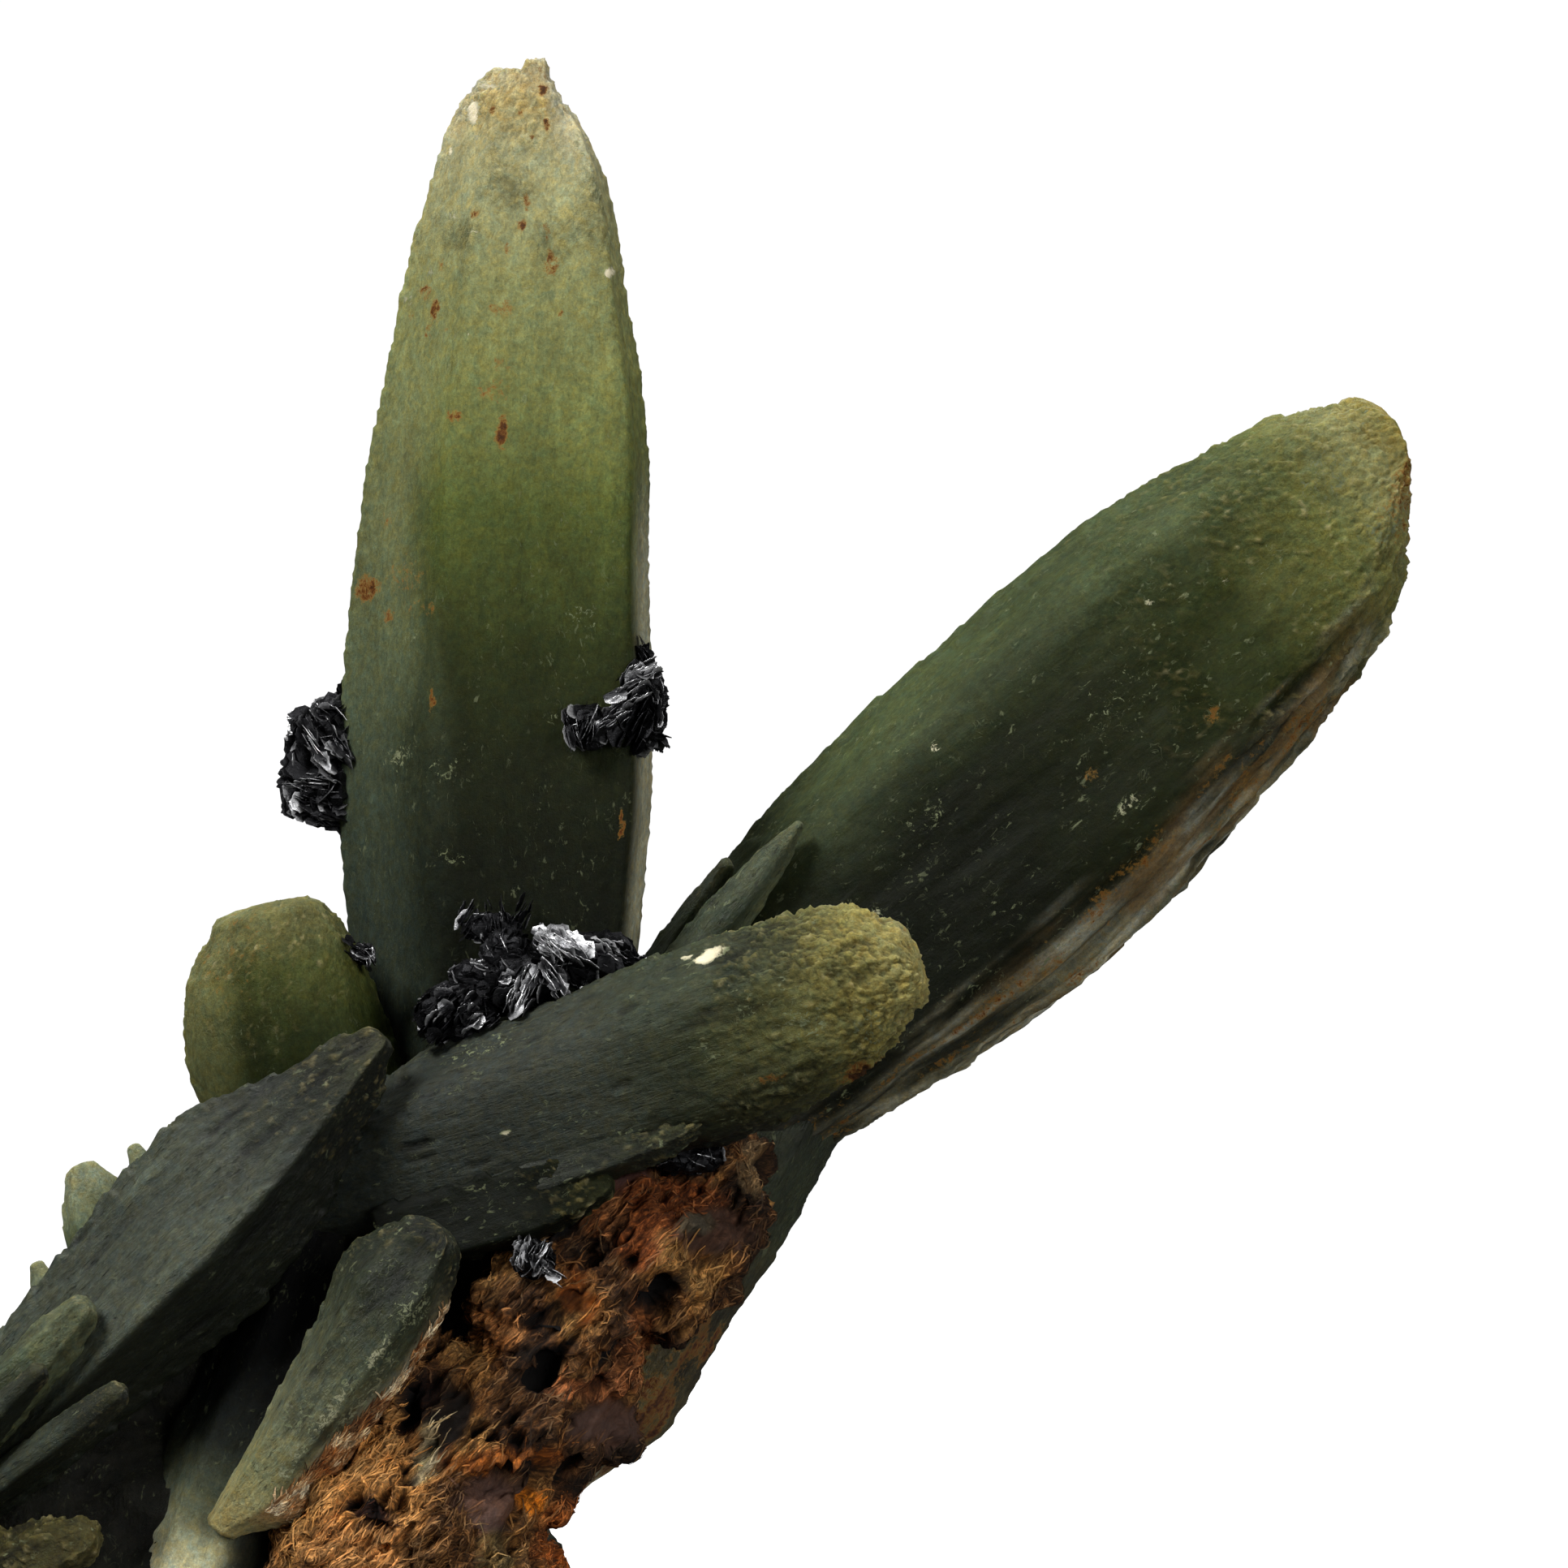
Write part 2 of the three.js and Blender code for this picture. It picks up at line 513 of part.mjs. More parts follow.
// A rose: plates that stand on edge like petals, all round the direction in which it grows,
// on a core
function roseSolid({ out, fans }, grow, seed) {
  const random = randomFrom(seed);
  const outward = new THREE.Vector3(...out).normalize();
  return joined(fans.flatMap(([x, y, z, rx, ry, rz, count]) => {
    const core = lumpSolid([x, y, z, rx * CORE, ry * CORE, rz * CORE], grow, 0, 0.1, 2);
    const plates = Array.from({ length: count }, (_, i) => {
      const turn = 2 * Math.PI * ((i + 0.5 * random()) / count);
      const petal = new THREE.Vector3(0, 0, 1).cross(outward).normalize().applyAxisAngle(outward, turn);
      const normal = petal.clone().cross(outward);
      normal.addScaledVector(outward, 0.9 * (random() - 0.5)).normalize();
      const size = 0.56 + 0.14 * random();
      const thickness = PLATE_THICKNESS * (0.8 + 0.4 * random()) + 2 * grow;
      const height = thickness * 3 / (rx + ry + rz);
      const geometry = new THREE.CylinderGeometry(0.9 * size, size, height, PLATE_SIDES);
      geometry.rotateY(Math.PI * random());
      geometry.applyQuaternion(new THREE.Quaternion().setFromUnitVectors(DEPTH, normal));
      geometry.translate(...petal.multiplyScalar(0.4).addScaledVector(outward, 0.2).toArray());
      geometry.scale(rx + grow, ry + grow, rz + grow);
      geometry.translate(x, y, z);
      return toSolid(geometry);
    });
    return [core, ...plates];
  }));
}

function oxideSolid() {
  const mass = joined(OXIDE_LUMPS.map((lump) => lumpSolid(lump, 0, lump[6], 0.15, 0.8)));
  const hollows = joined(OXIDE_HOLLOWS.map((hollow) => lumpSolid(hollow, 0, 0, 0.15, 1.1)));
  return mass.subtract(hollows);
}

const group = new THREE.Group();

function add(name, solid, look) {
  const mesh = new THREE.Mesh(toGeometry(solid), new THREE.MeshStandardMaterial(look));
  mesh.name = name;
  group.add(mesh);
}

const cluster = largestOf(cutFoot(clusterSolid(0)));
const clusterWithGap = clusterSolid(CLEARANCE);
add('prase_cluster', cluster, COLOURS.quartz);

let taken = clusterWithGap;
Object.entries(ROSES).forEach(([name, rose], i) => {
  const seed = 31 + i;
  add(name, largestOf(roseSolid(rose, 0, seed).subtract(taken)), COLOURS.hematite);
  taken = taken.add(roseSolid(rose, CLEARANCE, seed));
});

add('iron_oxide', largestOf(cutFoot(oxideSolid().subtract(taken))), COLOURS.oxide);

export default group;
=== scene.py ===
import math
import bpy
import numpy as np
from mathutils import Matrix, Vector
from mathutils.bvhtree import BVHTree


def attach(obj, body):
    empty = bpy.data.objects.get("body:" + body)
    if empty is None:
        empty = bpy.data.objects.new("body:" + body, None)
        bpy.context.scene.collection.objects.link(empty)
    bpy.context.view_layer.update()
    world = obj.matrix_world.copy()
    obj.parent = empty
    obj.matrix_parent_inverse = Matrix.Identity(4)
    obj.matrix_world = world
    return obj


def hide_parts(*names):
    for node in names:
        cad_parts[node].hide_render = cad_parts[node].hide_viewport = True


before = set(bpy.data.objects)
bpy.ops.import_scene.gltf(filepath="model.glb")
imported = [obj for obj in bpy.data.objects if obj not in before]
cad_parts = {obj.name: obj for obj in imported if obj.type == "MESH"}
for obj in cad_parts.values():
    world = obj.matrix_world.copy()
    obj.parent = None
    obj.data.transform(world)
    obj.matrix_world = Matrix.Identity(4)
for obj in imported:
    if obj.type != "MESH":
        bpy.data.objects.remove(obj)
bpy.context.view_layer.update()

MM = 0.001


def add(name, data):
    """A new object in the scene."""
    thing = bpy.data.objects.new(name, data)
    bpy.context.collection.objects.link(thing)
    return thing


# Camera: the photo's framing, in mm at the tall crystal
VIEW_WIDTH = 96.6
VIEW_DISTANCE = 402.5
VIEW_ACROSS, VIEW_UP = 18.3, 56.7
SENSOR = 36
camera_data = bpy.data.cameras.new("camera")
camera_data.sensor_width = SENSOR
camera_data.lens = SENSOR * VIEW_DISTANCE / VIEW_WIDTH
camera_data.clip_start = 0.01
camera = add("camera", camera_data)
camera.location = (VIEW_ACROSS * MM, -VIEW_DISTANCE * MM, VIEW_UP * MM)
camera.rotation_euler = (math.pi / 2, 0, 0)
bpy.context.scene.camera = camera

# Light: a soft main light from the upper left, a weak one from the right, one on the backdrop
for name, place, aim, size, power in (
        ("main", (-0.40, -0.40, 0.58), (0.01, 0, 0.05), 0.30, 7.6),
        ("right", (0.48, -0.62, 0.14), (0.01, 0, 0.04), 0.50, 4.2),
        ("behind", (0.0, 0.25, 1.1), (0.0, 0.75, 0.1), 0.6, 14.0)):
    light = bpy.data.lights.new(name, "AREA")
    light.shape = "DISK"
    light.size = size
    light.energy = power
    lamp = add(name, light)
    lamp.location = place
    lamp.rotation_euler = (Vector(aim) - Vector(place)).to_track_quat("-Z", "Y").to_euler()

# The surround is white to look at and dim as a light
world = bpy.data.worlds.new("surround")
world.use_nodes = True
world_tree = world.node_tree
background = world_tree.nodes["Background"]
background.inputs["Color"].default_value = (0.97, 0.98, 1.0, 1)
seen = world_tree.nodes.new("ShaderNodeLightPath")
level = world_tree.nodes.new("ShaderNodeMapRange")
level.inputs["To Min"].default_value = 0.10
level.inputs["To Max"].default_value = 1.0
world_tree.links.new(seen.outputs["Is Camera Ray"], level.inputs["Value"])
world_tree.links.new(level.outputs["Result"], background.inputs["Strength"])
bpy.context.scene.world = world
bpy.context.scene.view_settings.view_transform = "Standard"


# Repeatable noise for mesh points, from whole numbers mixed by large primes
def hashed(whole, seed):
    """A number from 0 to 1 for each point, whose coordinates are whole numbers."""
    i, j, k = whole.T
    h = (i * 73856093) ^ (j * 19349663) ^ (k * 83492791) ^ (seed * 97531)
    h = (h & 0xFFFFFFFF).astype(np.uint64)
    for shift, factor in ((15, 2246822519), (13, 3266489917)):
        h = ((h ^ (h >> np.uint64(shift))) * np.uint64(factor)) & np.uint64(0xFFFFFFFF)
    return ((h ^ (h >> np.uint64(16))) & np.uint64(0xFFFFFF)).astype(float) / 0xFFFFFF


def noise(p, seed):
    """Smooth noise from -1 to 1."""
    base = np.floor(p).astype(np.int64)
    part = p - base
    ease = part * part * part * (part * (part * 6 - 15) + 10)
    total = np.zeros(len(p))
    for corner in range(8):
        step = np.array([corner & 1, (corner >> 1) & 1, corner >> 2])
        weight = np.prod(np.where(step == 1, ease, 1 - ease), axis=1)
        total += weight * hashed(base + step, seed)
    return total * 2 - 1


def layered(p, octaves, seed):
    """Noise with finer and weaker noise on it."""
    total = np.zeros(len(p))
    for i in range(octaves):
        total += noise(p * 2 ** i, seed + i) / 2 ** i
    return total


def swirl(p, octaves, seed, apart=0):
    """Layered noise in three directions, to push points aside with."""
    return np.stack([layered(p + apart * k, octaves, seed + k) for k in range(3)], axis=1)


def cells(p, seed):
    """For each point: how deep it is in its cell (0 at a border), the cell's own number, and
    how far the point is past the cell's middle along the last coordinate."""
    base = np.floor(p).astype(np.int64)
    nearest = np.full(len(p), 9.0)
    second = nearest
    label = past = np.zeros(len(p))
    for n in range(27):
        cell = base + np.array([n % 3 - 1, n // 3 % 3 - 1, n // 9 - 1])
        spot = np.stack([hashed(cell, seed + m) for m in range(3)], axis=1)
        offset = p - cell - spot
        gap = np.linalg.norm(offset, axis=1)
        closer = gap < nearest
        second = np.where(closer, nearest, np.minimum(second, gap))
        label = np.where(closer, hashed(cell, seed + 7), label)
        past = np.where(closer, offset[:, 2], past)
        nearest = np.minimum(nearest, gap)
    return second - nearest, label, past


def chunks(p, seed, border, start=-0.5, spread=1.0, slope=0.5):
    """Blocks of different heights, one in each cell, that slope and fall off at their borders."""
    depth, label, past = cells(p, seed)
    return (start + spread * label + slope * past) * rise(depth, 0, border)


def holes(p, seed, start, end, above):
    """1 inside a few of the cells and 0 elsewhere."""
    depth, label, _ = cells(p, seed)
    return rise(depth, start, end) * (label > above)


def rise(x, start, end):
    """0 up to start, 1 from end on, smooth between."""
    t = np.clip((x - start) / (end - start), 0, 1)
    return t * t * (3 - 2 * t)


def unit(v):
    return v / (np.linalg.norm(v) + 1e-9)


def rgb(r, g, b):
    """Linear colour from the 0 to 255 values seen on a screen."""
    c = np.array([r, g, b]) / 255
    return tuple(np.where(c < 0.04045, c / 12.92, ((c + 0.055) / 1.055) ** 2.4))


def ramp(x, *stops):
    """Values between given stops: a place and a number, or a place and a screen colour."""
    places = [stop[0] for stop in stops]
    if len(stops[0]) == 2:
        return np.interp(x, places, [stop[1] for stop in stops])
    colours = np.array([rgb(*stop[1:]) for stop in stops])
    return np.stack([np.interp(x, places, channel) for channel in colours.T], axis=-1)


def blend(base, colour, mask):
    """Puts a screen colour, or one linear colour for each point, over the base."""
    if isinstance(colour, tuple):
        colour = np.array(rgb(*colour))
    mask = np.clip(mask, 0, 1)[:, None]
    return base * (1 - mask) + colour * mask


# Meshes, with their faces and points in numpy arrays
def grid_faces(order):
    """Four-sided faces between the neighbours in a grid of point numbers."""
    return np.stack([order[:-1, :-1], order[1:, :-1], order[1:, 1:], order[:-1, 1:]],
                    axis=-1).reshape(-1, 4)


def joined(parts):
    """Several (points, faces, values) as one."""
    points, faces, *values = zip(*parts)
    starts = np.cumsum([0] + [len(p) for p in points])
    faces = [f + start for f, start in zip(faces, starts)]
    return [np.concatenate(part) for part in (points, faces, *values)]


def read_mesh(mesh):
    """Points, normals and triangles of a mesh."""
    mesh.calc_loop_triangles()
    result = []
    for items, key, kind in ((mesh.vertices, "co", float), (mesh.vertices, "normal", float),
                             (mesh.loop_triangles, "vertices", np.int32)):
        values = np.empty(len(items) * 3, dtype=kind)
        items.foreach_get(key, values)
        result.append(values.reshape(-1, 3))
    return result


def make_mesh(name, points, faces, attributes, material, node, smooth=True):
    """A piece from points in mm and equal-sided faces, with values for its material."""
    points = np.asarray(points, dtype=np.float32) * MM
    faces = np.asarray(faces, dtype=np.int32)
    mesh = bpy.data.meshes.new(name)
    mesh.vertices.add(len(points))
    mesh.vertices.foreach_set("co", points.ravel())
    mesh.loops.add(faces.size)
    mesh.loops.foreach_set("vertex_index", faces.ravel())
    mesh.polygons.add(len(faces))
    starts = np.arange(0, faces.size, faces.shape[1], dtype=np.int32)
    mesh.polygons.foreach_set("loop_start", starts)
    mesh.polygons.foreach_set("use_smooth", np.full(len(faces), smooth))
    mesh.update(calc_edges=True)
    mesh.validate()
    for key, values in attributes.items():
        values = np.asarray(values, dtype=np.float32)
        kind, field = ("FLOAT", "value") if values.ndim == 1 else ("FLOAT_VECTOR", "vector")
        mesh.attributes.new(key, kind, "POINT").data.foreach_set(field, values.ravel())
    mesh.materials.append(material)
    piece = add(name, mesh)
    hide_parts(node)
    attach(piece, "root")
    return piece


# Materials
def triple(value):
    """A colour or vector as it is, and a number three times."""
    return tuple(value) if hasattr(value, "__len__") else (value,) * 3


class Shader:
    """Short names for the nodes that the materials are made of."""

    def __init__(self, name, roughness, metallic=0.0):
        self.material = bpy.data.materials.new(name)
        self.material.use_nodes = True
        self.tree = self.material.node_tree
        self.surface(Roughness=roughness, Metallic=metallic)

    def put(self, socket, value):
        """Links an input to another node's output, or sets it."""
        if hasattr(value, "links"):
            self.tree.links.new(value, socket)
        elif hasattr(socket.default_value, "__len__"):
            socket.default_value = (*triple(value), 1)[:len(socket.default_value)]
        else:
            socket.default_value = value

    def surface(self, **inputs):
        """Links or sets inputs of the surface, whose names have _ for a space here."""
        for name, value in inputs.items():
            self.put(self.tree.nodes["Principled BSDF"].inputs[name.replace("_", " ")], value)
        return self.material

    def node(self, kind, output, inputs, **settings):
        """One output of a new node."""
        node = self.tree.nodes.new("ShaderNode" + kind)
        for name, value in settings.items():
            setattr(node, name, value)
        for key, value in inputs.items():
            self.put(node.inputs[key], value)
        return node.outputs[output]

    def attribute(self, name, output="Fac"):
        return self.node("Attribute", output, {}, attribute_name=name)

    def math(self, operation, a, b=0.0, c=0.0, clamp=False):
        return self.node("Math", 0, {0: a, 1: b, 2: c}, operation=operation, use_clamp=clamp)

    def times(self, first, *others):
        for other in others:
            first = self.math("MULTIPLY", first, other)
        return first

    def scaled(self, vector, scale):
        return self.node("VectorMath", 0, {0: vector, 1: scale}, operation="MULTIPLY")

    def noise(self, vector, scale, detail=4.0, roughness=0.6, distortion=0.0):
        return self.node("TexNoise", "Fac", {"Vector": vector, "Scale": scale, "Detail": detail,
                                             "Roughness": roughness, "Distortion": distortion})

    def ramp(self, value, *stops):
        output = self.node("ValToRGB", "Color", {0: value})
        elements = output.node.color_ramp.elements
        while len(elements) < len(stops):
            elements.new(0.5)
        for element, (place, colour) in zip(elements, stops):
            element.position = place
            element.color = (*triple(colour), 1)
        return output

    def mix(self, factor, a, b, blend="MIX"):
        return self.node("Mix", 2, {0: factor, 6: a, 7: b}, data_type="RGBA", blend_type=blend)

    def filtered(self, colour, *layers):
        for layer in layers:
            colour = self.mix(1.0, colour, layer, "MULTIPLY")
        return colour

    def bump(self, height, strength, distance, under=None):
        inputs = {"Strength": strength, "Distance": distance, "Height": height}
        if under is not None:
            inputs["Normal"] = under
        return self.node("Bump", "Normal", inputs)


def prase_material(name, gloss, glow, shine, streaks):
    """Green quartz. The mesh carries its tint, its relief and its place along the crystal."""
    s = Shader(name, gloss)
    place = s.attribute("place", "Vector")
    rough = s.attribute("rough")

    def drawn_out(length, *settings):
        return s.noise(s.scaled(place, (1, 1, length)), *settings)

    scratch = s.ramp(s.noise(s.scaled(place, (1.7, 1.7, 0.34)), 2.6, 3, 0.6, 0.5),
                     (0.30, 1 - 0.6 * streaks), (0.39, 1))
    colour = s.filtered(
        s.attribute("tint", "Vector"),
        # clouds inside the stone, then fibres along the crystal, a fine speckle and mottling
        s.ramp(drawn_out(0.4, 0.45, 5, 0.62, 0.4), (0.3, 0.80), (0.7, 1.22)),
        s.ramp(drawn_out(0.28, 5.0, 4, 0.66, 0.6),
               (0.3, 1 - 0.24 * streaks), (0.7, 1 + 0.26 * streaks)),
        s.ramp(s.noise(place, 8.0, 3, 0.75, 0.8), (0.3, 0.76), (0.7, 1.24)),
        s.ramp(drawn_out(0.8, 2.4, 3, 0.7, 0.7), (0.34, 0.80), (0.5, 1), (0.66, 1.24)),
        scratch,
        # drifts of a bluer and a yellower green
        s.ramp(s.noise(place, 1.5, 5, 0.75, 0.6),
               (0.36, (0.86, 0.99, 1.18)), (0.64, (1.12, 1.01, 0.80))),
        # painted shade in the crevices, painted highlight on the ridges
        s.ramp(s.attribute("relief"), (0, 1 - 0.7 * streaks), (0.42, 0.97), (0.7, 1),
               (1, 1 + 0.5 * streaks)))
    # pale flecks in drifts and thin pale threads
    fleck = s.ramp(drawn_out(0.55, 2.3, 4, 0.65, 0.6), (0.61, 0), (0.68, 1))
    drift = s.ramp(s.noise(place, 0.3, 3, 0.6), (0.45, 0), (0.60, 1))
    curve = s.math("ABSOLUTE", s.math("SUBTRACT", drawn_out(0.7, 0.9, 2, 0.5, 1.6), 0.5))
    thread = s.ramp(curve, (0.004, 1), (0.016, 0))
    apart = s.ramp(s.noise(place, 0.8, 3, 0.6), (0.57, 0), (0.64, 0.4))
    fleck = s.math("MAXIMUM", s.times(fleck, drift), s.times(thread, apart))
    fleck = s.times(fleck, s.attribute("flecks"))
    colour = s.mix(fleck, colour, rgb(118, 124, 92))
    # sugary grains towards the tip
    honey = s.ramp(s.noise(place, 1.3, 3, 0.6), (0.36, rgb(66, 60, 30)), (0.5, rgb(112, 100, 56)),
                   (0.68, rgb(170, 158, 116)))
    sugar = s.times(s.ramp(s.attribute("grain"), (0.35, 0), (0.95, 1)), rough, 0.62)
    colour = s.mix(sugar, colour, honey)
    # iron stain and pale chips, each broken up by its own noise
    edge = s.math("MULTIPLY_ADD", s.noise(place, 2.6, 6, 0.75, 0.4), -1.9, 0.45)
    broken = s.math("ADD", s.attribute("rust"), edge)
    stain = s.ramp(broken, (0, rgb(134, 116, 60)), (0.2, rgb(136, 94, 38)),
                   (0.4, rgb(88, 48, 16)), (0.62, rgb(52, 26, 10)))
    colour = s.mix(s.ramp(broken, (0, 0), (0.35, 0.95)), colour, stain)
    pale = s.attribute("pale")
    edge = s.math("MULTIPLY_ADD", s.noise(place, 2.4, 5, 0.75, 0.8), -2.2, 0.5)
    chip = s.ramp(pale, (0.5, rgb(108, 114, 84)), (1, rgb(226, 214, 182)))
    colour = s.mix(s.ramp(s.math("ADD", pale, edge), (0, 0), (0.10, 1)), colour, chip)
    # satin on the faces, dull on grains and stain
    satin = s.math("MULTIPLY_ADD", drawn_out(0.3, 1.8, 4, 0.6), 0.3, gloss - 0.15)
    # fine steps along the crystal, then grain that grows with roughness
    steps = s.math("MULTIPLY_ADD", scratch, 0.35, drawn_out(0.2, 2.6, 5, 0.7, 0.3))
    fine = s.times(s.noise(place, 6.0, 4, 0.75), s.math("MULTIPLY_ADD", rough, 1.1, 0.22))
    fine = s.math("ADD", fine, s.times(fleck, 0.3))
    return s.surface(
        Base_Color=colour, Roughness=s.math("MULTIPLY_ADD", rough, 0.12, satin, True),
        Normal=s.bump(fine, 0.8, 0.00026, s.bump(steps, 0.8 * streaks, 0.0003)),
        Subsurface_Weight=glow, Subsurface_Radius=(0.9, 1.0, 0.5), Subsurface_Scale=0.0016,
        IOR=1.54, Specular_IOR_Level=shine)


prase = prase_material("prase", 0.44, 0.15, 0.22, 1.0)
prase_clear = prase_material("prase_clear", 0.5, 0.25, 0.07, 0.4)
prase_satin = prase_material("prase_satin", 0.5, 0.15, 0.12, 0.85)

# Cross-sections: corners down the crystal from its tip, [across, towards the viewer]
SECTIONS = {
    "tabular": [(0.87, 1), (1, 0.1), (0.6, -0.9), (-0.5, -1), (-1, -0.15), (-0.4, 0.8)],
    "leaning": [(0.66, 1), (1, 0.2), (0.62, -1), (-0.5, -1), (-1, -0.2), (-0.66, 0.74)],
    "pointing": [(0.7, 0.8), (1, -0.1), (0.5, -1), (-0.5, -1), (-1, 0), (-0.42, 1)],
    "ridged": [(0.30, 1), (1, 0.1), (0.78, -0.8), (-0.3, -1), (-0.9, -0.6), (-1, 0.1)],
    "regular": [(0.45, 1), (1, 0.1), (0.55, -0.9), (-0.5, -1), (-1, -0.05), (-0.5, 0.9)],
    "blade": [(0.3, 1), (1, 0), (0.3, -1), (-0.3, -1), (-1, 0), (-0.3, 1)],
    "slab": [(0.6, 1), (1, 0), (0.3, -1), (-0.3, -1), (-1, 0.3), (-0.85, 0.5)],
}


def spots(flat, marks):
    """Marks at (across, along, half-size across, half-size along, strength) in mm on a crystal's
    front."""
    total = np.zeros(len(flat))
    if marks:
        bent = flat + 0.16 * swirl(flat * 1.7, 1, 3, 9)
    for across, distance, wide, tall, strength in marks:
        gap = np.hypot((bent[:, 0] - across) / wide, (bent[:, 2] - distance) / tall)
        total = np.maximum(total, strength * np.clip(1.5 - gap, 0, 1) * (flat[:, 1] > -1))
    return total


def section_ring(corners, middle, step, worn):
    """A section walked round at even steps, with worn corners, from -1 to 1 each way. middle is
    its half-widths left and right and half-depths front and back halfway up the crystal."""
    corners = np.array(corners, dtype=float)
    real = corners * np.where(corners > 0, middle[[1, 2]], middle[[0, 3]])
    edges = np.linalg.norm(np.roll(real, -1, axis=0) - real, axis=1)
    marks = np.concatenate([[0], np.cumsum(edges)])
    count = max(24, int(marks[-1] / step))
    walk = np.linspace(0, marks[-1], count, endpoint=False)
    ring = np.stack([np.interp(walk, marks, np.append(c, c[0])) for c in corners.T], axis=1)
    worn = max(1, int(count * worn))
    ring = sum(np.roll(ring, k, axis=0) for k in range(-worn, worn + 1)) / (2 * worn + 1)
    return ring / np.where(ring > 0, ring.max(axis=0), -ring.min(axis=0))


def tube(points, rows, count):
    """Rings of points as one closed skin: a point more at each end, and its triangles."""
    order = np.arange(rows * count).reshape(rows, count)
    after = np.roll(order, -1, axis=1)
    quads = np.stack([order[:-1], after[:-1], after[1:], order[1:]], axis=-1).reshape(-1, 4)
    foot_fan = np.stack([after[0], order[0], np.full(count, rows * count)], axis=-1)
    tip_fan = np.stack([order[-1], after[-1], np.full(count, rows * count + 1)], axis=-1)
    faces = np.concatenate([quads[:, [0, 1, 2]], quads[:, [0, 2, 3]], foot_fan, tip_fan])
    points = np.vstack([points, points[:count].mean(axis=0), points[-count:].mean(axis=0)])
    a, b, c = points[faces[0]]
    if np.dot(np.cross(b - a, c - a), a - points[-2]) < 0:
        faces = faces[:, ::-1]
    return points, faces


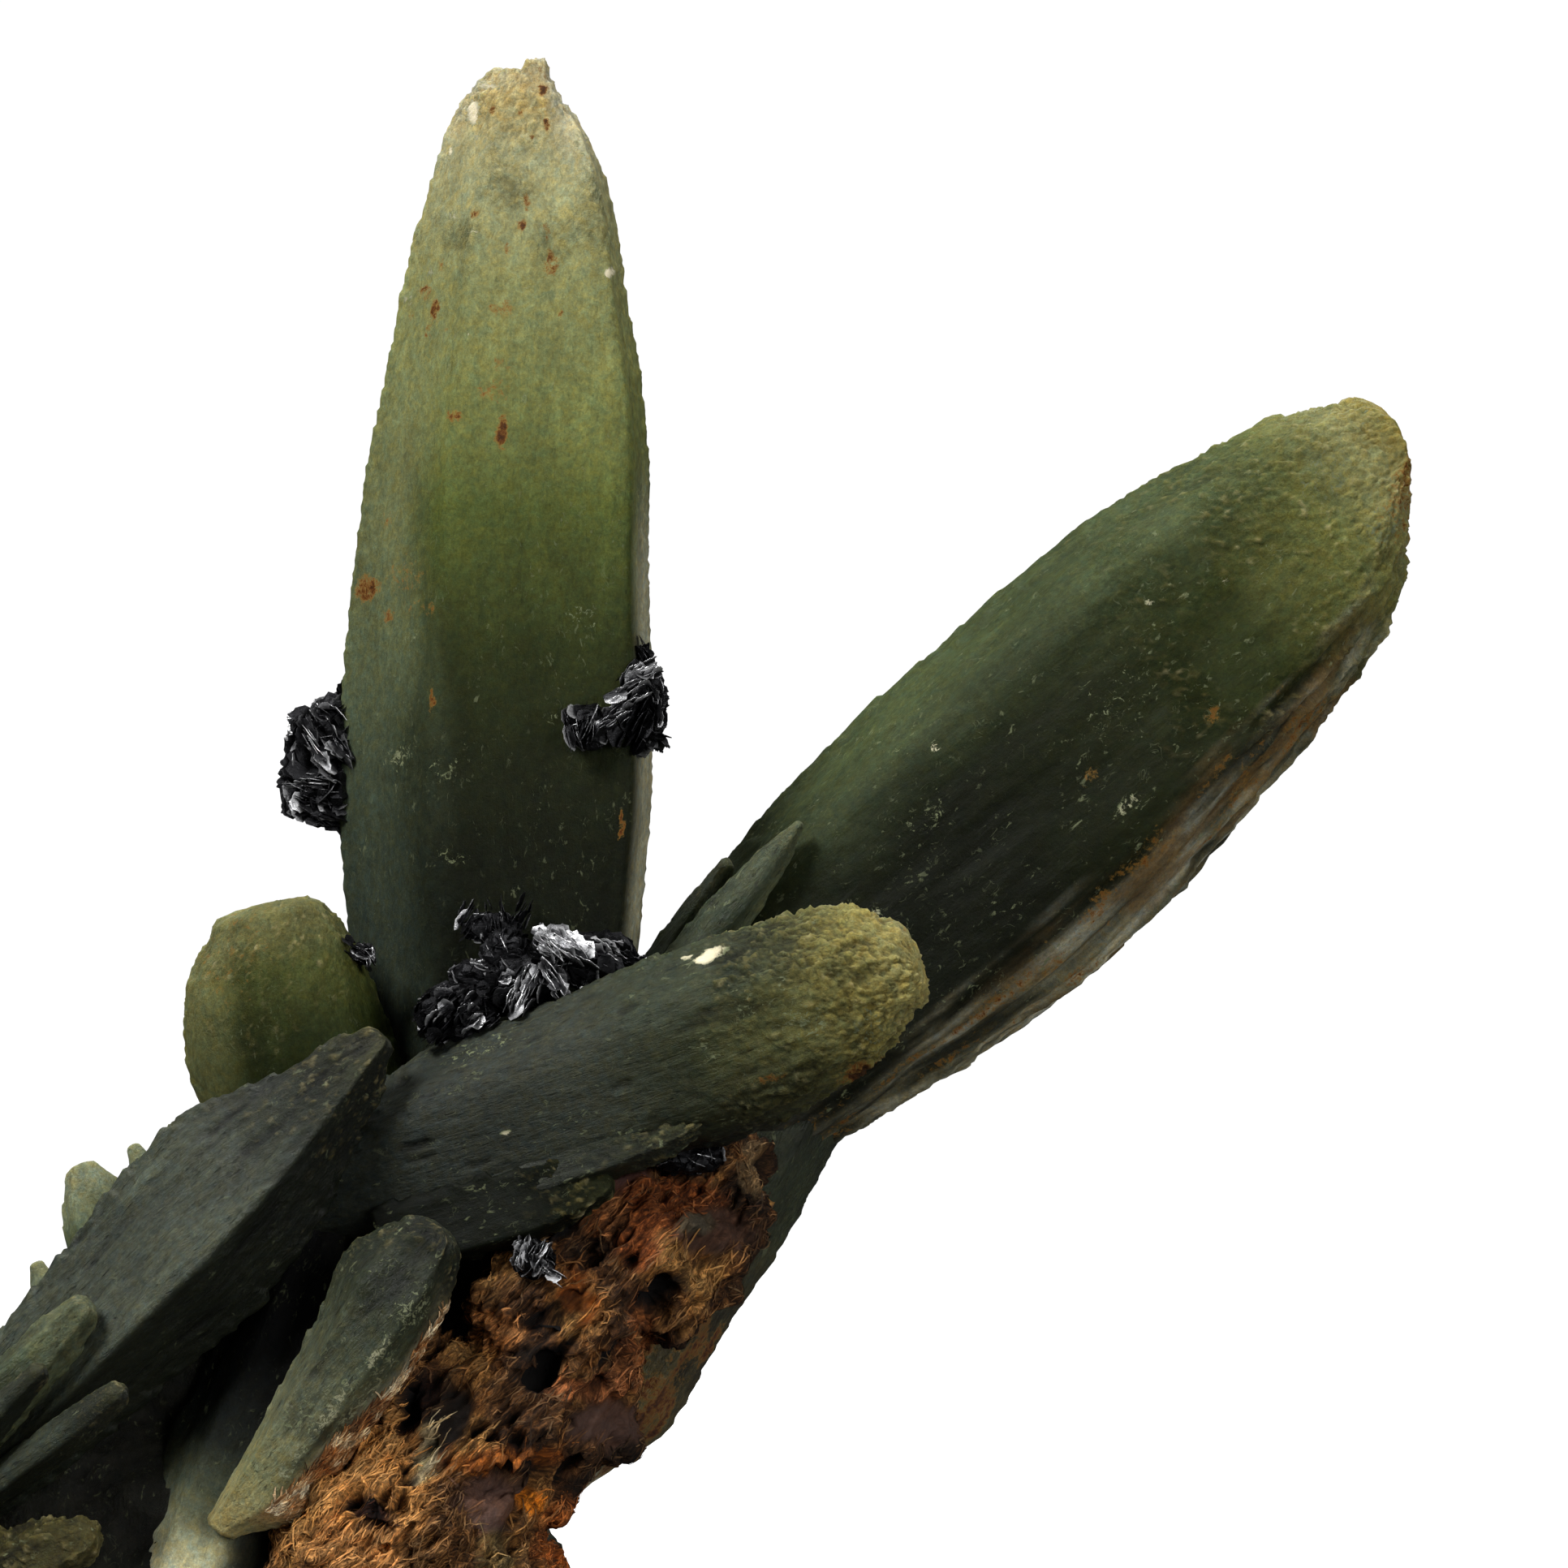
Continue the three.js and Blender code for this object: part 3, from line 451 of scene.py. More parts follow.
def crystal(name, foot, tip, section, stations, step, tint, seed, rough_from=0.8,
            grain=(0.8, 0.25), blades=(0.7, 0.16, 0.12), bluntness=0.55, rust=None, material=prase,
            flecks=0.5, teeth=(0.16, 0.9), pits=0.04, calm=1, waves=0.1, worn=0.008, grooves=0,
            peaks=None, stains=(), chips=()):
    """A crystal in mm: rings of its section at the stations of its axis, then its surface relief.
    step is the size of its faces, rough_from where along it the rough tip starts, grain the size
    and height of the tip's grains, blades the number per mm across and along and the height of
    the long steps on the faces, calm how much of that the foot end has. bluntness is how round
    the end is, teeth the height and number per mm of the notches along the edges, pits the depth
    of small hollows, waves the height of the slow unevenness, worn how far round the ring the
    corners are rounded, grooves the height of the striation on the right-hand faces, peaks the
    ragged end as (across, distance). tint and rust give colours and stain over the whole crystal,
    stains and chips are single marks as spots() takes them."""
    foot = np.array(foot, dtype=float)
    axis = np.array(tip, dtype=float) - foot
    axis /= np.linalg.norm(axis)
    side = np.cross((0, 1, 0), axis)
    side /= np.linalg.norm(side)
    front = np.cross(side, axis)
    stations = np.array(stations, dtype=float)

    # distances along the axis, closer towards the tip, and widths smoothed over 2.5 mm of it
    start, stop = stations[0, 0], stations[-1, 0]
    t = np.linspace(0, 1, int((stop - start) / step))
    along = start + (stop - start) * (t * 1.3 - 0.3 * t * t)
    even = np.arange(start - 1.5, stop + 1.5, 0.1)
    window = np.hanning(27)[1:-1]
    window /= window.sum()
    places, *halves = stations.T
    halves = [np.convolve(np.interp(even, places, half), window, mode="same") for half in halves]
    widths = np.stack([np.interp(along, even, half) for half in halves], axis=1)
    # the round end
    end = widths[-1].mean() * bluntness
    turns = np.linspace(0, math.pi / 2, max(4, int(end * 1.8 / step)))[1:-1]
    along = np.concatenate([along, along[-1] + end * np.sin(turns)])
    widths = np.concatenate([widths, widths[-1] * np.cos(turns)[:, None]])
    left, right, near, far = widths.T[:, :, None]
    rows = len(along)

    # the rings, and which way is outwards
    ring = section_ring(SECTIONS[section], widths[rows // 2], step, worn)
    count = len(ring)
    u, v = ring.T
    local = np.stack([u * np.where(u < 0, left, right), v * np.where(v > 0, near, far),
                      np.repeat(along[:, None], count, axis=1)], axis=-1)
    across_ring = np.roll(local, -1, axis=1) - np.roll(local, 1, axis=1)
    outward = np.cross(across_ring, np.gradient(local, axis=0))
    outward /= np.linalg.norm(outward, axis=-1, keepdims=True) + 1e-9
    if (outward[rows // 2] * local[rows // 2] * (1, 1, 0)).sum() < 0:
        outward = -outward

    # relief: long overlapping steps, slow waves, pits, striation and grains towards the tip
    flat = local.reshape(-1, 3)
    shift = seed * 11.3
    share = (flat[:, 2] / (stop + end)).clip(0, 1)
    x, y = np.tile(ring, (rows, 1)).T
    warp = swirl(flat * (0.4, 0.4, 0.12) + shift, 2, seed, 31)

    def at(per_mm, pull=0):
        """The points as a pattern of that density sees them, pulled about by the warp."""
        return flat * per_mm + pull * warp + shift

    patches = layered(at(0.35), 2, seed + 70)
    tipward = rise(share + 0.13 * patches, rough_from - 0.14, rough_from + 0.12)
    fine, coarse, height = blades
    stepped = rise(share + 0.1 * patches, rough_from - 0.4, rough_from)
    height = height * (calm + (1 - calm) * stepped)
    total = height * chunks(at((fine, fine, coarse), 0.3), seed + 40, 0.16)
    finer = at((2.3 * fine, 2.3 * fine, 1.7 * coarse), 0.4)
    total += 0.42 * height * chunks(finer, seed + 50, 0.2)
    total += waves * layered(at((0.5, 0.5, 0.12)), 3, seed)
    pitted = holes(at((1.3, 1.3, 0.42), 0.3), seed + 30, 0.15, 0.45, 0.88)
    total -= pits * pitted * (1 - tipward)
    notches = teeth[0] * rise(np.abs(x), 0.84, 0.98)
    notches *= chunks(at((0.8, 0.8, teeth[1]), 0.2), seed + 65, 0.12, slope=0.8)
    if grooves:
        lines = layered(at((1.5, 1.5, 0.05), 0.15), 3, seed + 60)
        total += grooves * rise(x, 0.6, 0.75) * lines
    size, height = grain
    stretched = flat * np.array([1, 1, 0.62]) / size
    wobble = swirl(at(1.1), 2, seed + 75, 17)
    grains = chunks(stretched + 0.25 * warp + 0.3 * wobble + shift, seed + 80, 0.45, 0.3, 0.7)
    small = chunks(stretched * 2.2 + 0.4 * wobble + shift, seed + 90, 0.4, 0.2, 0.8)
    total += tipward * height * (0.8 * (grains - 0.4) + 0.45 * (small - 0.4))
    total += 0.02 * layered(at(2.4), 2, seed + 9)
    thin = np.repeat(np.clip(widths.min(axis=1) / 1.6, 0.15, 1), count)
    total *= thin
    local = local + outward * (total + notches * thin).reshape(rows, count, 1)
    if peaks:
        limit = np.interp(local[..., 0], *zip(*peaks))
        limit += 0.16 * layered(at((3, 3, 0)), 2, seed + 95).reshape(rows, count)
        over = local[..., 2] - limit
        local[..., 2] = np.where(over > 0, limit + 0.05 * over, local[..., 2])

    # values for the material
    raised = total - np.median(total)
    cloud = layered(at((0.13, 0.13, 0.07)), 5, seed + 20)
    values = {
        "tint": tint(share, x, y, cloud, flat), "place": flat + shift, "rough": tipward,
        "relief": np.clip(0.5 + 0.33 * raised / (np.percentile(np.abs(raised), 90) + 1e-6), 0, 1),
        "grain": np.clip(0.55 * grains + 0.6 * small, 0, 1), "flecks": flecks + 0.4 * tipward,
        "rust": spots(flat, stains) + (rust(share, x, y, cloud, flat) if rust else 0),
        "pale": spots(flat, chips),
    }

    # in its place, above the flat cut, with the values of the two end points
    points = foot + local[..., :1] * side + local[..., 1:2] * front + local[..., 2:] * axis
    points = points.reshape(-1, 3)
    points[:, 2] = np.maximum(points[:, 2], 0.06)
    points, faces = tube(points, rows, count)
    values = {key: np.concatenate([value, value[:1], value[-1:]]) for key, value in values.items()}
    return make_mesh("quartz_" + name, points, faces, values, material, "prase_cluster")


# Tints, from what the photo shows on each crystal: t along it, x across, y towards the viewer
def shaded(*stops, side=None):
    """A tint from its stops along the crystal and a darker or paler right side: its colour, how
    strong and how uneven it is, and where across the crystal it starts and ends."""
    def tint(t, x, y, cloud, flat):
        body = ramp(t, *stops)
        if side:
            colour, strength, uneven, start, end = side
            body = blend(body, colour, strength * rise(x + uneven * cloud, start, end))
        return body
    return tint


# painted shade on the two slabs under the front crystal: their lower sides darker
step_tint = shaded((0, 34, 37, 30), (0.7, 34, 38, 25), (1, 62, 64, 38),
                   side=((18, 21, 12), 0.7, 0.2, 0.2, 0.8))
flank_tint = shaded((0, 12, 14, 9), (0.75, 14, 17, 9), (1, 40, 42, 23),
                    side=((12, 14, 8), 0.6, 0, 0.3, 0.9))
# painted shade: the lower face painted much darker
long_tint = shaded((0.2, 60, 66, 52), (0.6, 57, 61, 49), (0.76, 55, 59, 47), (0.87, 28, 32, 22),
                   (0.93, 31, 34, 20), (1, 46, 47, 23),
                   side=((17, 20, 11), 0.92, 0.05, 0.25, 0.38))
# painted shade: darker upwards into the shade under the crystals and on the right side; the pale
# foot end is partly its own colour and partly painted light
leg_tint = shaded((0.27, 226, 220, 178), (0.35, 180, 178, 140), (0.40, 108, 110, 85),
                  (0.45, 64, 68, 53), (0.53, 26, 29, 23), (0.62, 20, 22, 20), (0.75, 10, 10, 10),
                  side=((12, 12, 9), 0.95, 0.2, 0, 0.35))
blade_tint = shaded((0, 33, 39, 26), (0.6, 52, 59, 41), (1, 82, 87, 62),
                    side=((84, 88, 62), 0.7, 0.2, 0.4, 0.9))
# the pale foot end: partly its own colour, partly painted light to lift it out of the shade it
# lies in
under_tint = shaded((0, 226, 228, 206), (0.04, 190, 190, 160), (0.08, 84, 76, 48),
                    (0.4, 62, 55, 34), (0.7, 42, 47, 29), (1, 30, 35, 21))
pale_tint = shaded((0, 48, 54, 40), (0.6, 78, 85, 62), (1, 132, 134, 104))
knobby_tint = shaded((0, 34, 36, 16), (0.7, 54, 50, 19), (1, 74, 68, 32))


def tall_tint(t, x, y, cloud, flat):
    # paler towards the thin tip: partly its own colour, partly painted glow of light shining
    # through the thin end
    body = ramp(t, (0.15, 14, 17, 7), (0.28, 17, 20, 8), (0.36, 26, 30, 12), (0.46, 41, 47, 18),
                (0.58, 74, 82, 37), (0.68, 107, 111, 63), (0.78, 122, 123, 78),
                (0.9, 147, 143, 104), (0.95, 170, 152, 100), (1, 196, 186, 150))
    body = blend(body, (176, 170, 142),
                 0.8 * rise(t, 0.86, 0.96) * rise(np.abs(x + 0.1) + 0.25 * cloud, 0.4, 0.9))
    # painted sheen: the left face painted paler
    pale = ramp(t, (0.2, 44, 50, 40), (0.36, 63, 70, 52), (0.46, 84, 90, 62),
                (0.61, 101, 104, 68), (0.8, 126, 128, 88))
    body = blend(body, pale, rise(-x + 0.12 * cloud, 0.3, 0.72) * rise(0.86 - t, 0, 0.3))
    # painted light: the lower part of the right edge painted paler
    return blend(body, (158, 154, 128), 0.85 * rise(x, 0.87, 0.96) * rise(0.66 - t, 0, 0.14))


def right_tint(t, x, y, cloud, flat):
    body = ramp(t, (0.2, 9, 12, 5), (0.45, 14, 17, 5), (0.62, 26, 30, 10), (0.76, 41, 47, 17),
                (0.88, 103, 105, 56), (0.95, 130, 127, 82), (1, 138, 122, 60))
    # painted glow: the upper left edge painted paler, as light shining through the thin edge
    edge = rise(-x + 0.18 * cloud, 0.1, 0.95) * (y > -0.6) * (0.3 + 0.7 * rise(t, 0.25, 0.45))
    body = blend(body, (64, 73, 44), 0.85 * edge * rise(1 - t, 0, 0.2))
    # its lower facet has fine lines and faded brown; its lightness along the crystal and towards
    # its right side is painted light on that facet
    lines = layered(flat * (1.5, 1.5, 0.09) + 3.3, 3, 43)
    lines += 0.4 * layered(flat * (0.5, 0.5, 0.14), 2, 47)
    lower = ramp(lines, (-0.9, 38, 38, 28), (0, 96, 92, 72), (0.9, 160, 156, 134))
    lower *= ramp(t, (0.12, 0.2), (0.24, 1.4), (0.40, 1.6), (0.5, 0.9), (0.8, 1.2))[:, None]
    lower *= (0.45 + 0.75 * rise(x, 0.7, 0.95))[:, None]
    brown = layered(flat * (0.8, 0.8, 0.2) + 6.1, 3, 48)
    lower = blend(lower, (104, 82, 50), 0.75 * rise(brown, 0, 0.5) * rise(t, 0.25, 0.5))
    facet = rise(x + 0.08 * cloud + 0.06 * lines, 0.6, 0.8)
    return blend(body, lower, 0.92 * facet * rise(0.94 - t, 0, 0.2))


def front_tint(t, x, y, cloud, flat):
    body = ramp(t, (0, 38, 41, 35), (0.25, 44, 47, 40), (0.45, 50, 53, 43), (0.62, 44, 48, 30),
                (0.80, 80, 80, 44), (0.92, 128, 120, 66), (1, 158, 148, 90))
    upper = rise(-x + 0.15 * cloud, 0.15, 0.55) * rise(0.88 - t, 0, 0.16) * rise(t, 0.45, 0.6)
    body = blend(body, (46, 52, 38), 0.7 * upper)
    # painted shade: darker towards the lower side and darkest along its lower edge
    lower = rise(x + 0.2 * cloud, 0.2, 0.6) * rise(0.88 - t, 0, 0.12) * rise(t, 0.5, 0.66)
    body = blend(body, (34, 31, 14), 0.45 * lower)
    lowest = rise(x + 0.1 * cloud, 0.68, 0.9) * rise(0.78 - t, 0, 0.2)
    return blend(body, (14, 15, 9), 0.9 * lowest)


def blunt_tint(t, x, y, cloud, flat):
    body = ramp(t, (0.2, 32, 37, 16), (0.6, 36, 42, 15), (0.8, 66, 70, 32), (1, 104, 102, 64))
    # painted glow: the left side painted paler, as light shining through the crystal
    return blend(body, (112, 112, 72),
                 (0.45 + 0.35 * rise(t, 0.5, 0.85)) * rise(-x + 0.1 * cloud, 0.45, 0.95))


def wedge_border(t, x, cloud):
    uneven = x + 0.28 * cloud + 0.3 * (0.5 - t)
    return rise(uneven, 0.42, 0.66) * rise(0.94 - t, 0, 0.25) * rise(t, 0.05, 0.16)


def wedge_tint(t, x, y, cloud, flat):
    body = ramp(t, (0, 172, 158, 106), (0.2, 122, 120, 82), (0.4, 98, 100, 76),
                (0.6, 70, 74, 55), (0.8, 31, 36, 21), (1, 30, 34, 20))
    border = ramp(t, (0, 172, 132, 80), (0.5, 176, 154, 120), (0.9, 122, 116, 92))
    return blend(body, border, wedge_border(t, x, cloud))


def back_tint(t, x, y, cloud, flat):
    body = ramp(t, (0, 30, 35, 23), (0.55, 44, 50, 31), (0.85, 78, 80, 50), (1, 110, 104, 68))
    return blend(body, (72, 78, 58), 0.5 * rise(np.abs(x), 0.7, 1))


# Iron stain over the whole of a crystal
def tall_rust(t, x, y, cloud, flat):
    return 0.5 * rise(t, 0.91, 0.97) * (0.6 + 0.4 * rise(x, -0.6, 0.4))


def right_rust(t, x, y, cloud, flat):
    streaks = layered(flat * (0.9, 0.9, 0.13) + 4.7, 3, 41)
    patches = layered(flat * (1.3, 1.3, 0.45) + 1.9, 3, 44)
    facet = rise(x + 0.1 * cloud, 0.56, 0.72) * rise(0.92 - t, 0, 0.2)
    tip = 0.72 * rise(t, 0.82, 0.98) * rise(x + 0.2 * cloud, 0, 0.8)
    return facet * (0.23 + 0.36 * streaks + 0.26 * patches) + tip


def front_rust(t, x, y, cloud, flat):
    return 0.42 * rise(t + 0.1 * cloud, 0.66, 0.95)


def blunt_rust(t, x, y, cloud, flat):
    return 0.42 * rise(t + 0.1 * cloud, 0.62, 0.85) * (y > 0) * rise(-x, -0.5, 0.4)


def wedge_rust(t, x, y, cloud, flat):
    return 0.56 * wedge_border(t, x, cloud)


def under_rust(t, x, y, cloud, flat):
    patches = 0.66 + 0.5 * layered(flat * (0.9, 0.9, 0.5) + 2.2, 3, 45)
    return patches * rise(0.66 - t + 0.3 * cloud, 0, 0.3) * rise(1.12 - x, 0, 0.3) * (y > -0.6)


def back_rust(t, x, y, cloud, flat):
    return 0.42 * rise(t, 0.8, 1) + 0.4 * rise(cloud, 0.4, 1)


# The crystals: name, foot and tip of the axis, section, stations as [distance from the foot,
# half-widths left and right, half-depths front and back], then step, tint, seed, rough_from,
# grain and blades
crystal("tall", (0.3, 1, 33.9), (2.6, 1, 101.4), "tabular", [
    (-14, 5.6, 5.4, 5, 5), (0, 8.2, 7.6, 6.4, 6), (14, 9.5, 8.7, 7, 6.4),
    (21, 10.4, 9.1, 7.2, 6.6), (27, 10.4, 9.1, 7.1, 6.6), (35.5, 9.9, 8.5, 6.9, 6.4),
    (43, 9.2, 8.3, 6.6, 6.1), (47.5, 8.4, 7.7, 6.2, 5.7), (52.5, 7.6, 6.6, 5.6, 5.2),
    (57, 6.8, 5.8, 4.9, 4.6), (57.6, 6.4, 5.7, 4.8, 4.5), (60.8, 5.7, 4.8, 4.1, 3.9),
    (63.2, 5, 3.6, 3.4, 3.2), (65.2, 4, 2, 2.6, 2.5), (66.8, 2.7, 1.1, 1.4, 1.3),
], 0.29, tall_tint, 1, 0.93, (0.6, 0.32), (0.5, 0.1, 0.05), bluntness=0.9, rust=tall_rust,
    material=prase_clear, flecks=0.4, teeth=(0.13, 1.5), pits=0.02, waves=0.03, worn=0.012,
    grooves=0.06, peaks=[
    (-3, 66.3), (-2.2, 66.9), (-0.7, 66.8), (-0.45, 66.6), (-0.2, 67.4), (1, 67.5), (1.5, 67),
], stains=[
    (-8.9, 34.6, 0.9, 1, 0.86), (-7.7, 38.8, 0.4, 0.7, 0.7), (-7.3, 32.9, 0.5, 0.6, 0.72),
    (-6.4, 35.4, 1.7, 1.5, 0.5), (-0.7, 44.3, 0.45, 1.2, 1), (-3.6, 45.1, 0.6, 0.5, 0.86),
    (-5.2, 51.7, 0.4, 0.8, 0.95), (-5.9, 52.9, 0.5, 0.6, 0.72), (0, 57, 0.35, 0.5, 0.9),
    (0.3, 58.3, 0.35, 0.6, 0.84), (1.9, 54.7, 0.55, 1, 0.74), (-0.9, 51.8, 0.9, 0.8, 0.66),
    (-2.9, 57.7, 0.35, 0.35, 0.8), (1.6, 56.6, 0.3, 0.8, 0.74), (-0.8, 55.6, 0.25, 0.7, 0.7),
    (2.6, 51.6, 0.25, 0.4, 0.86), (-1.4, 46.8, 1.4, 0.8, 0.6), (1.4, 63.3, 0.24, 0.42, 0.84),
    (-5.6, 50.4, 0.4, 0.5, 0.7), (-4.4, 50.4, 0.3, 0.4, 0.66), (-6.8, 51.4, 0.3, 0.4, 0.7),
    (-4.9, 54.4, 0.3, 0.8, 0.66), (7.5, 20.6, 0.16, 1.1, 1), (-4.4, 27.8, 0.2, 0.8, 0.95),
    (-5.2, 33.4, 1.6, 0.8, 0.46), (-1, 48.4, 1, 0.8, 0.5), (-2.1, 64.2, 0.32, 0.36, 0.68),
    (0.4, 62.6, 0.26, 0.3, 0.66), (-0.4, 64, 0.22, 0.3, 0.62), (0.9, 65.5, 0.22, 0.3, 0.66),
], chips=[
    (-3.4, 64.2, 0.5, 0.9, 1), (-2.6, 65.8, 0.8, 0.3, 0.9), (-4.7, 61.7, 0.25, 0.3, 0.95),
    (-4.4, 57.6, 1.1, 0.3, 0.66), (-2.9, 56.5, 0.9, 0.16, 0.8), (3.6, 62.2, 0.5, 1, 0.62),
    (-7, 52.6, 0.4, 0.9, 0.64), (-3.1, 62.6, 0.5, 0.4, 0.6), (-5.6, 54.2, 0.5, 0.4, 0.6),
    (-6.4, 24.2, 1.6, 1.4, 0.52), (-3.6, 23.4, 1.2, 1, 0.5), (5.5, 54.2, 0.25, 0.5, 0.9),
    (4.8, 33, 1.6, 1.2, 0.46), (-6, 31.6, 0.7, 1, 0.5), (-3, 18.2, 1.6, 0.6, 0.5),
    (3, 26.8, 0.7, 0.9, 0.46), (-2.4, 24.6, 0.4, 1, 0.5), (-3, 50, 0.25, 0.2, 0.9),
])
crystal("right", (9.2, 5, 35.1), (57.1, 1, 77.9), "leaning", [
    (-14, 3.6, 4.6, 4.2, 4.4), (0, 6.2, 7.6, 5.4, 5.4), (8.5, 7.9, 8.8, 6.4, 6.2),
    (15, 8.8, 9.8, 7, 6.6), (20, 9.6, 10.7, 7.3, 6.9), (28, 10.2, 11.4, 7.5, 7),
    (35, 10.1, 11.2, 7.4, 6.9), (41, 10.1, 10.4, 7.1, 6.6), (47, 9.7, 9.5, 6.7, 6.2),
    (51.5, 8.7, 8.6, 6.2, 5.7), (55.5, 7.8, 7.6, 5.5, 5), (58.5, 7, 6.1, 4.7, 4.3),
    (61, 5.6, 3.4, 3.7, 3.4), (62.3, 5, 2.2, 2.9, 2.7), (63.2, 4.3, 1.3, 2.2, 2),
], 0.31, right_tint, 2, 0.8, (0.6, 0.34), (0.55, 0.11, 0.12), bluntness=0.58, rust=right_rust,
    material=prase_clear, flecks=0.6, teeth=(0.16, 0.6), pits=0.05, worn=0.045, grooves=0.3,
    peaks=[
    (-6.5, 62.6), (-4.6, 63.5), (-2.7, 64.3), (-1.5, 64.3), (-0.1, 63.8), (1, 63.2), (2.1, 62.3),
    (4.3, 60.4), (5.8, 59), (7.5, 56.5),
], stains=[
    (4.2, 44, 0.5, 0.8, 0.62), (2, 36, 0.5, 0.8, 0.55),
], chips=[
    (-5.6, 30, 0.4, 0.5, 0.8), (-3.4, 45.6, 0.25, 0.5, 0.8), (-1.3, 50, 0.3, 0.8, 0.66),
    (-0.4, 20.4, 0.5, 0.8, 0.6), (-3, 27, 1.4, 2.4, 0.42), (4.9, 36.5, 0.6, 1.4, 0.6),
    (8.6, 27, 0.8, 3, 0.48), (2.6, 59.4, 1.6, 2.6, 0.5), (-2, 58.6, 2, 3, 0.5),
    (3, 14, 2.4, 4, 0.38), (0, 40, 2.6, 4, 0.38),
])
crystal("right_blade", (9.6, -1.6, 42.2), (19.3, -3, 54.3), "blade", [
    (0, 1.6, 1.9, 1.5, 2.2), (8, 1.5, 1.6, 1.3, 2.2), (13, 1, 1.1, 0.9, 1.7),
    (15.4, 0.3, 0.3, 0.4, 0.8),
], 0.2, blade_tint, 3, 0.8, (0.6, 0.12))
crystal("right_edge", (9.6, 3, 43.4), (14.6, 1, 51.8), "blade", [
    (0, 1.5, 2.6, 2.2, 2.2), (6, 1, 2.2, 1.7, 2), (9.9, 0.3, 0.7, 0.7, 1.2),
], 0.2, blade_tint, 4, 0.8, (0.6, 0.12))
crystal("front", (-7.1, -7, 33.7), (26.6, -16, 45.8), "pointing", [
    (-8, 2.2, 3, 2.8, 3.2), (0, 3.6, 5.2, 4, 4.6), (6, 5.3, 6.1, 4.7, 5), (14, 5.5, 5.6, 4.9, 5.1),
    (20.5, 6, 5.6, 5.1, 5.2), (21.4, 6, 6.1, 5.1, 5.2), (25.5, 5.9, 5.8, 5.1, 5),
    (29.5, 5.7, 5.1, 4.8, 4.6), (32.4, 5.5, 4.3, 4.2, 4), (34.6, 4.7, 3, 3.1, 2.9),
    (36, 3.2, 1.8, 1.9, 1.8),
], 0.18, front_tint, 5, 0.76, (0.62, 0.34), (0.75, 0.22, 0.2), bluntness=0.36, rust=front_rust,
    material=prase_satin, teeth=(0.2, 0.9), pits=0.14, calm=0.3, waves=0.04, worn=0.06, stains=[
    (4.6, 31.4, 0.5, 1.2, 0.86), (3, 26.8, 0.35, 1.6, 0.62),
], chips=[
    (-5, 25.3, 0.32, 1.1, 1), (-5.2, 23.9, 0.2, 0.5, 0.8), (0.6, 30.2, 1.4, 2, 0.5),
    (-1.4, 27.4, 1, 1.6, 0.46), (2, 33.4, 1.4, 1.4, 0.5), (0.8, 10.6, 0.25, 0.4, 0.8),
    (-4.4, 10, 0.8, 3.4, 0.48), (3.4, 17, 0.8, 2.4, 0.46),
])
crystal("front_step", (-4.6, -9.8, 31.6), (14.5, -15.4, 37.6), "slab", [
    (0, 3.2, 2.6, 2, 2.2), (10, 3.2, 2.6, 2.1, 2.2), (15, 2.9, 2.3, 1.9, 2),
    (17.6, 2.3, 1.9, 1.6, 1.7), (19, 1.5, 1.3, 1.2, 1.3),
], 0.2, step_tint, 6, 0.76, (0.7, 0.3), (0.8, 0.24, 0.12), bluntness=0.6, teeth=(0.4, 0.6),
    calm=0.4)
crystal("front_low", (-5.4, -10.4, 28.6), (8.9, -14.4, 33.4), "slab", [
    (0, 2.8, 1.6, 1.9, 2), (9, 2.8, 2.2, 2, 2), (12, 2.4, 1.8, 1.7, 1.7), (14, 1.4, 1.1, 1.1, 1.1),
], 0.2, flank_tint, 7, 0.76, (0.7, 0.3), (0.8, 0.24, 0.1), bluntness=0.6, material=prase_clear,
    teeth=(0.4, 0.6), calm=0.4)
crystal("long", (-43.1, -6, 3.8), (-5.8, -13, 41.3), "ridged", [
    (0, 3, 3.2, 3.2, 3.2), (16, 3.4, 4, 4, 4), (24, 4, 4.9, 4.5, 4.5), (30, 4.7, 5.5, 4.9, 4.9),
    (36.4, 5.4, 6, 5.2, 5.2), (41.5, 5.6, 5.4, 4.8, 4.8), (44.8, 4.3, 4.6, 4, 4),
    (48, 2.9, 3.2, 3, 3), (50.3, 2.4, 2.5, 2.2, 2.2), (52.4, 1.9, 1.6, 1.5, 1.5),
    (53.3, 1.2, 0.9, 0.9, 0.9),
], 0.215, long_tint, 8, 0.95, (0.7, 0.13), (1.3, 0.17, 0.12), bluntness=0.5, flecks=0.25,
    teeth=(0.3, 0.7))
crystal("blunt", (-8.3, -3, 30.2), (-12.4, -4, 49.5), "regular", [
    (0, 6.4, 5.6, 4.6, 4.6), (8, 7.3, 5.1, 4.9, 4.9), (11, 7.7, 4.8, 4.9, 4.9),
    (14.5, 7.2, 4.3, 4.6, 4.6), (16.6, 6.5, 3.8, 4.1, 4.1), (18, 5.2, 3.2, 3.4, 3.4),
    (18.9, 4.3, 2.5, 2.6, 2.6),
], 0.22, blunt_tint, 9, 0.72, (0.5, 0.14), (0.5, 0.2, 0.06), bluntness=0.32, rust=blunt_rust,
    material=prase_clear, flecks=0.3, worn=0.11)
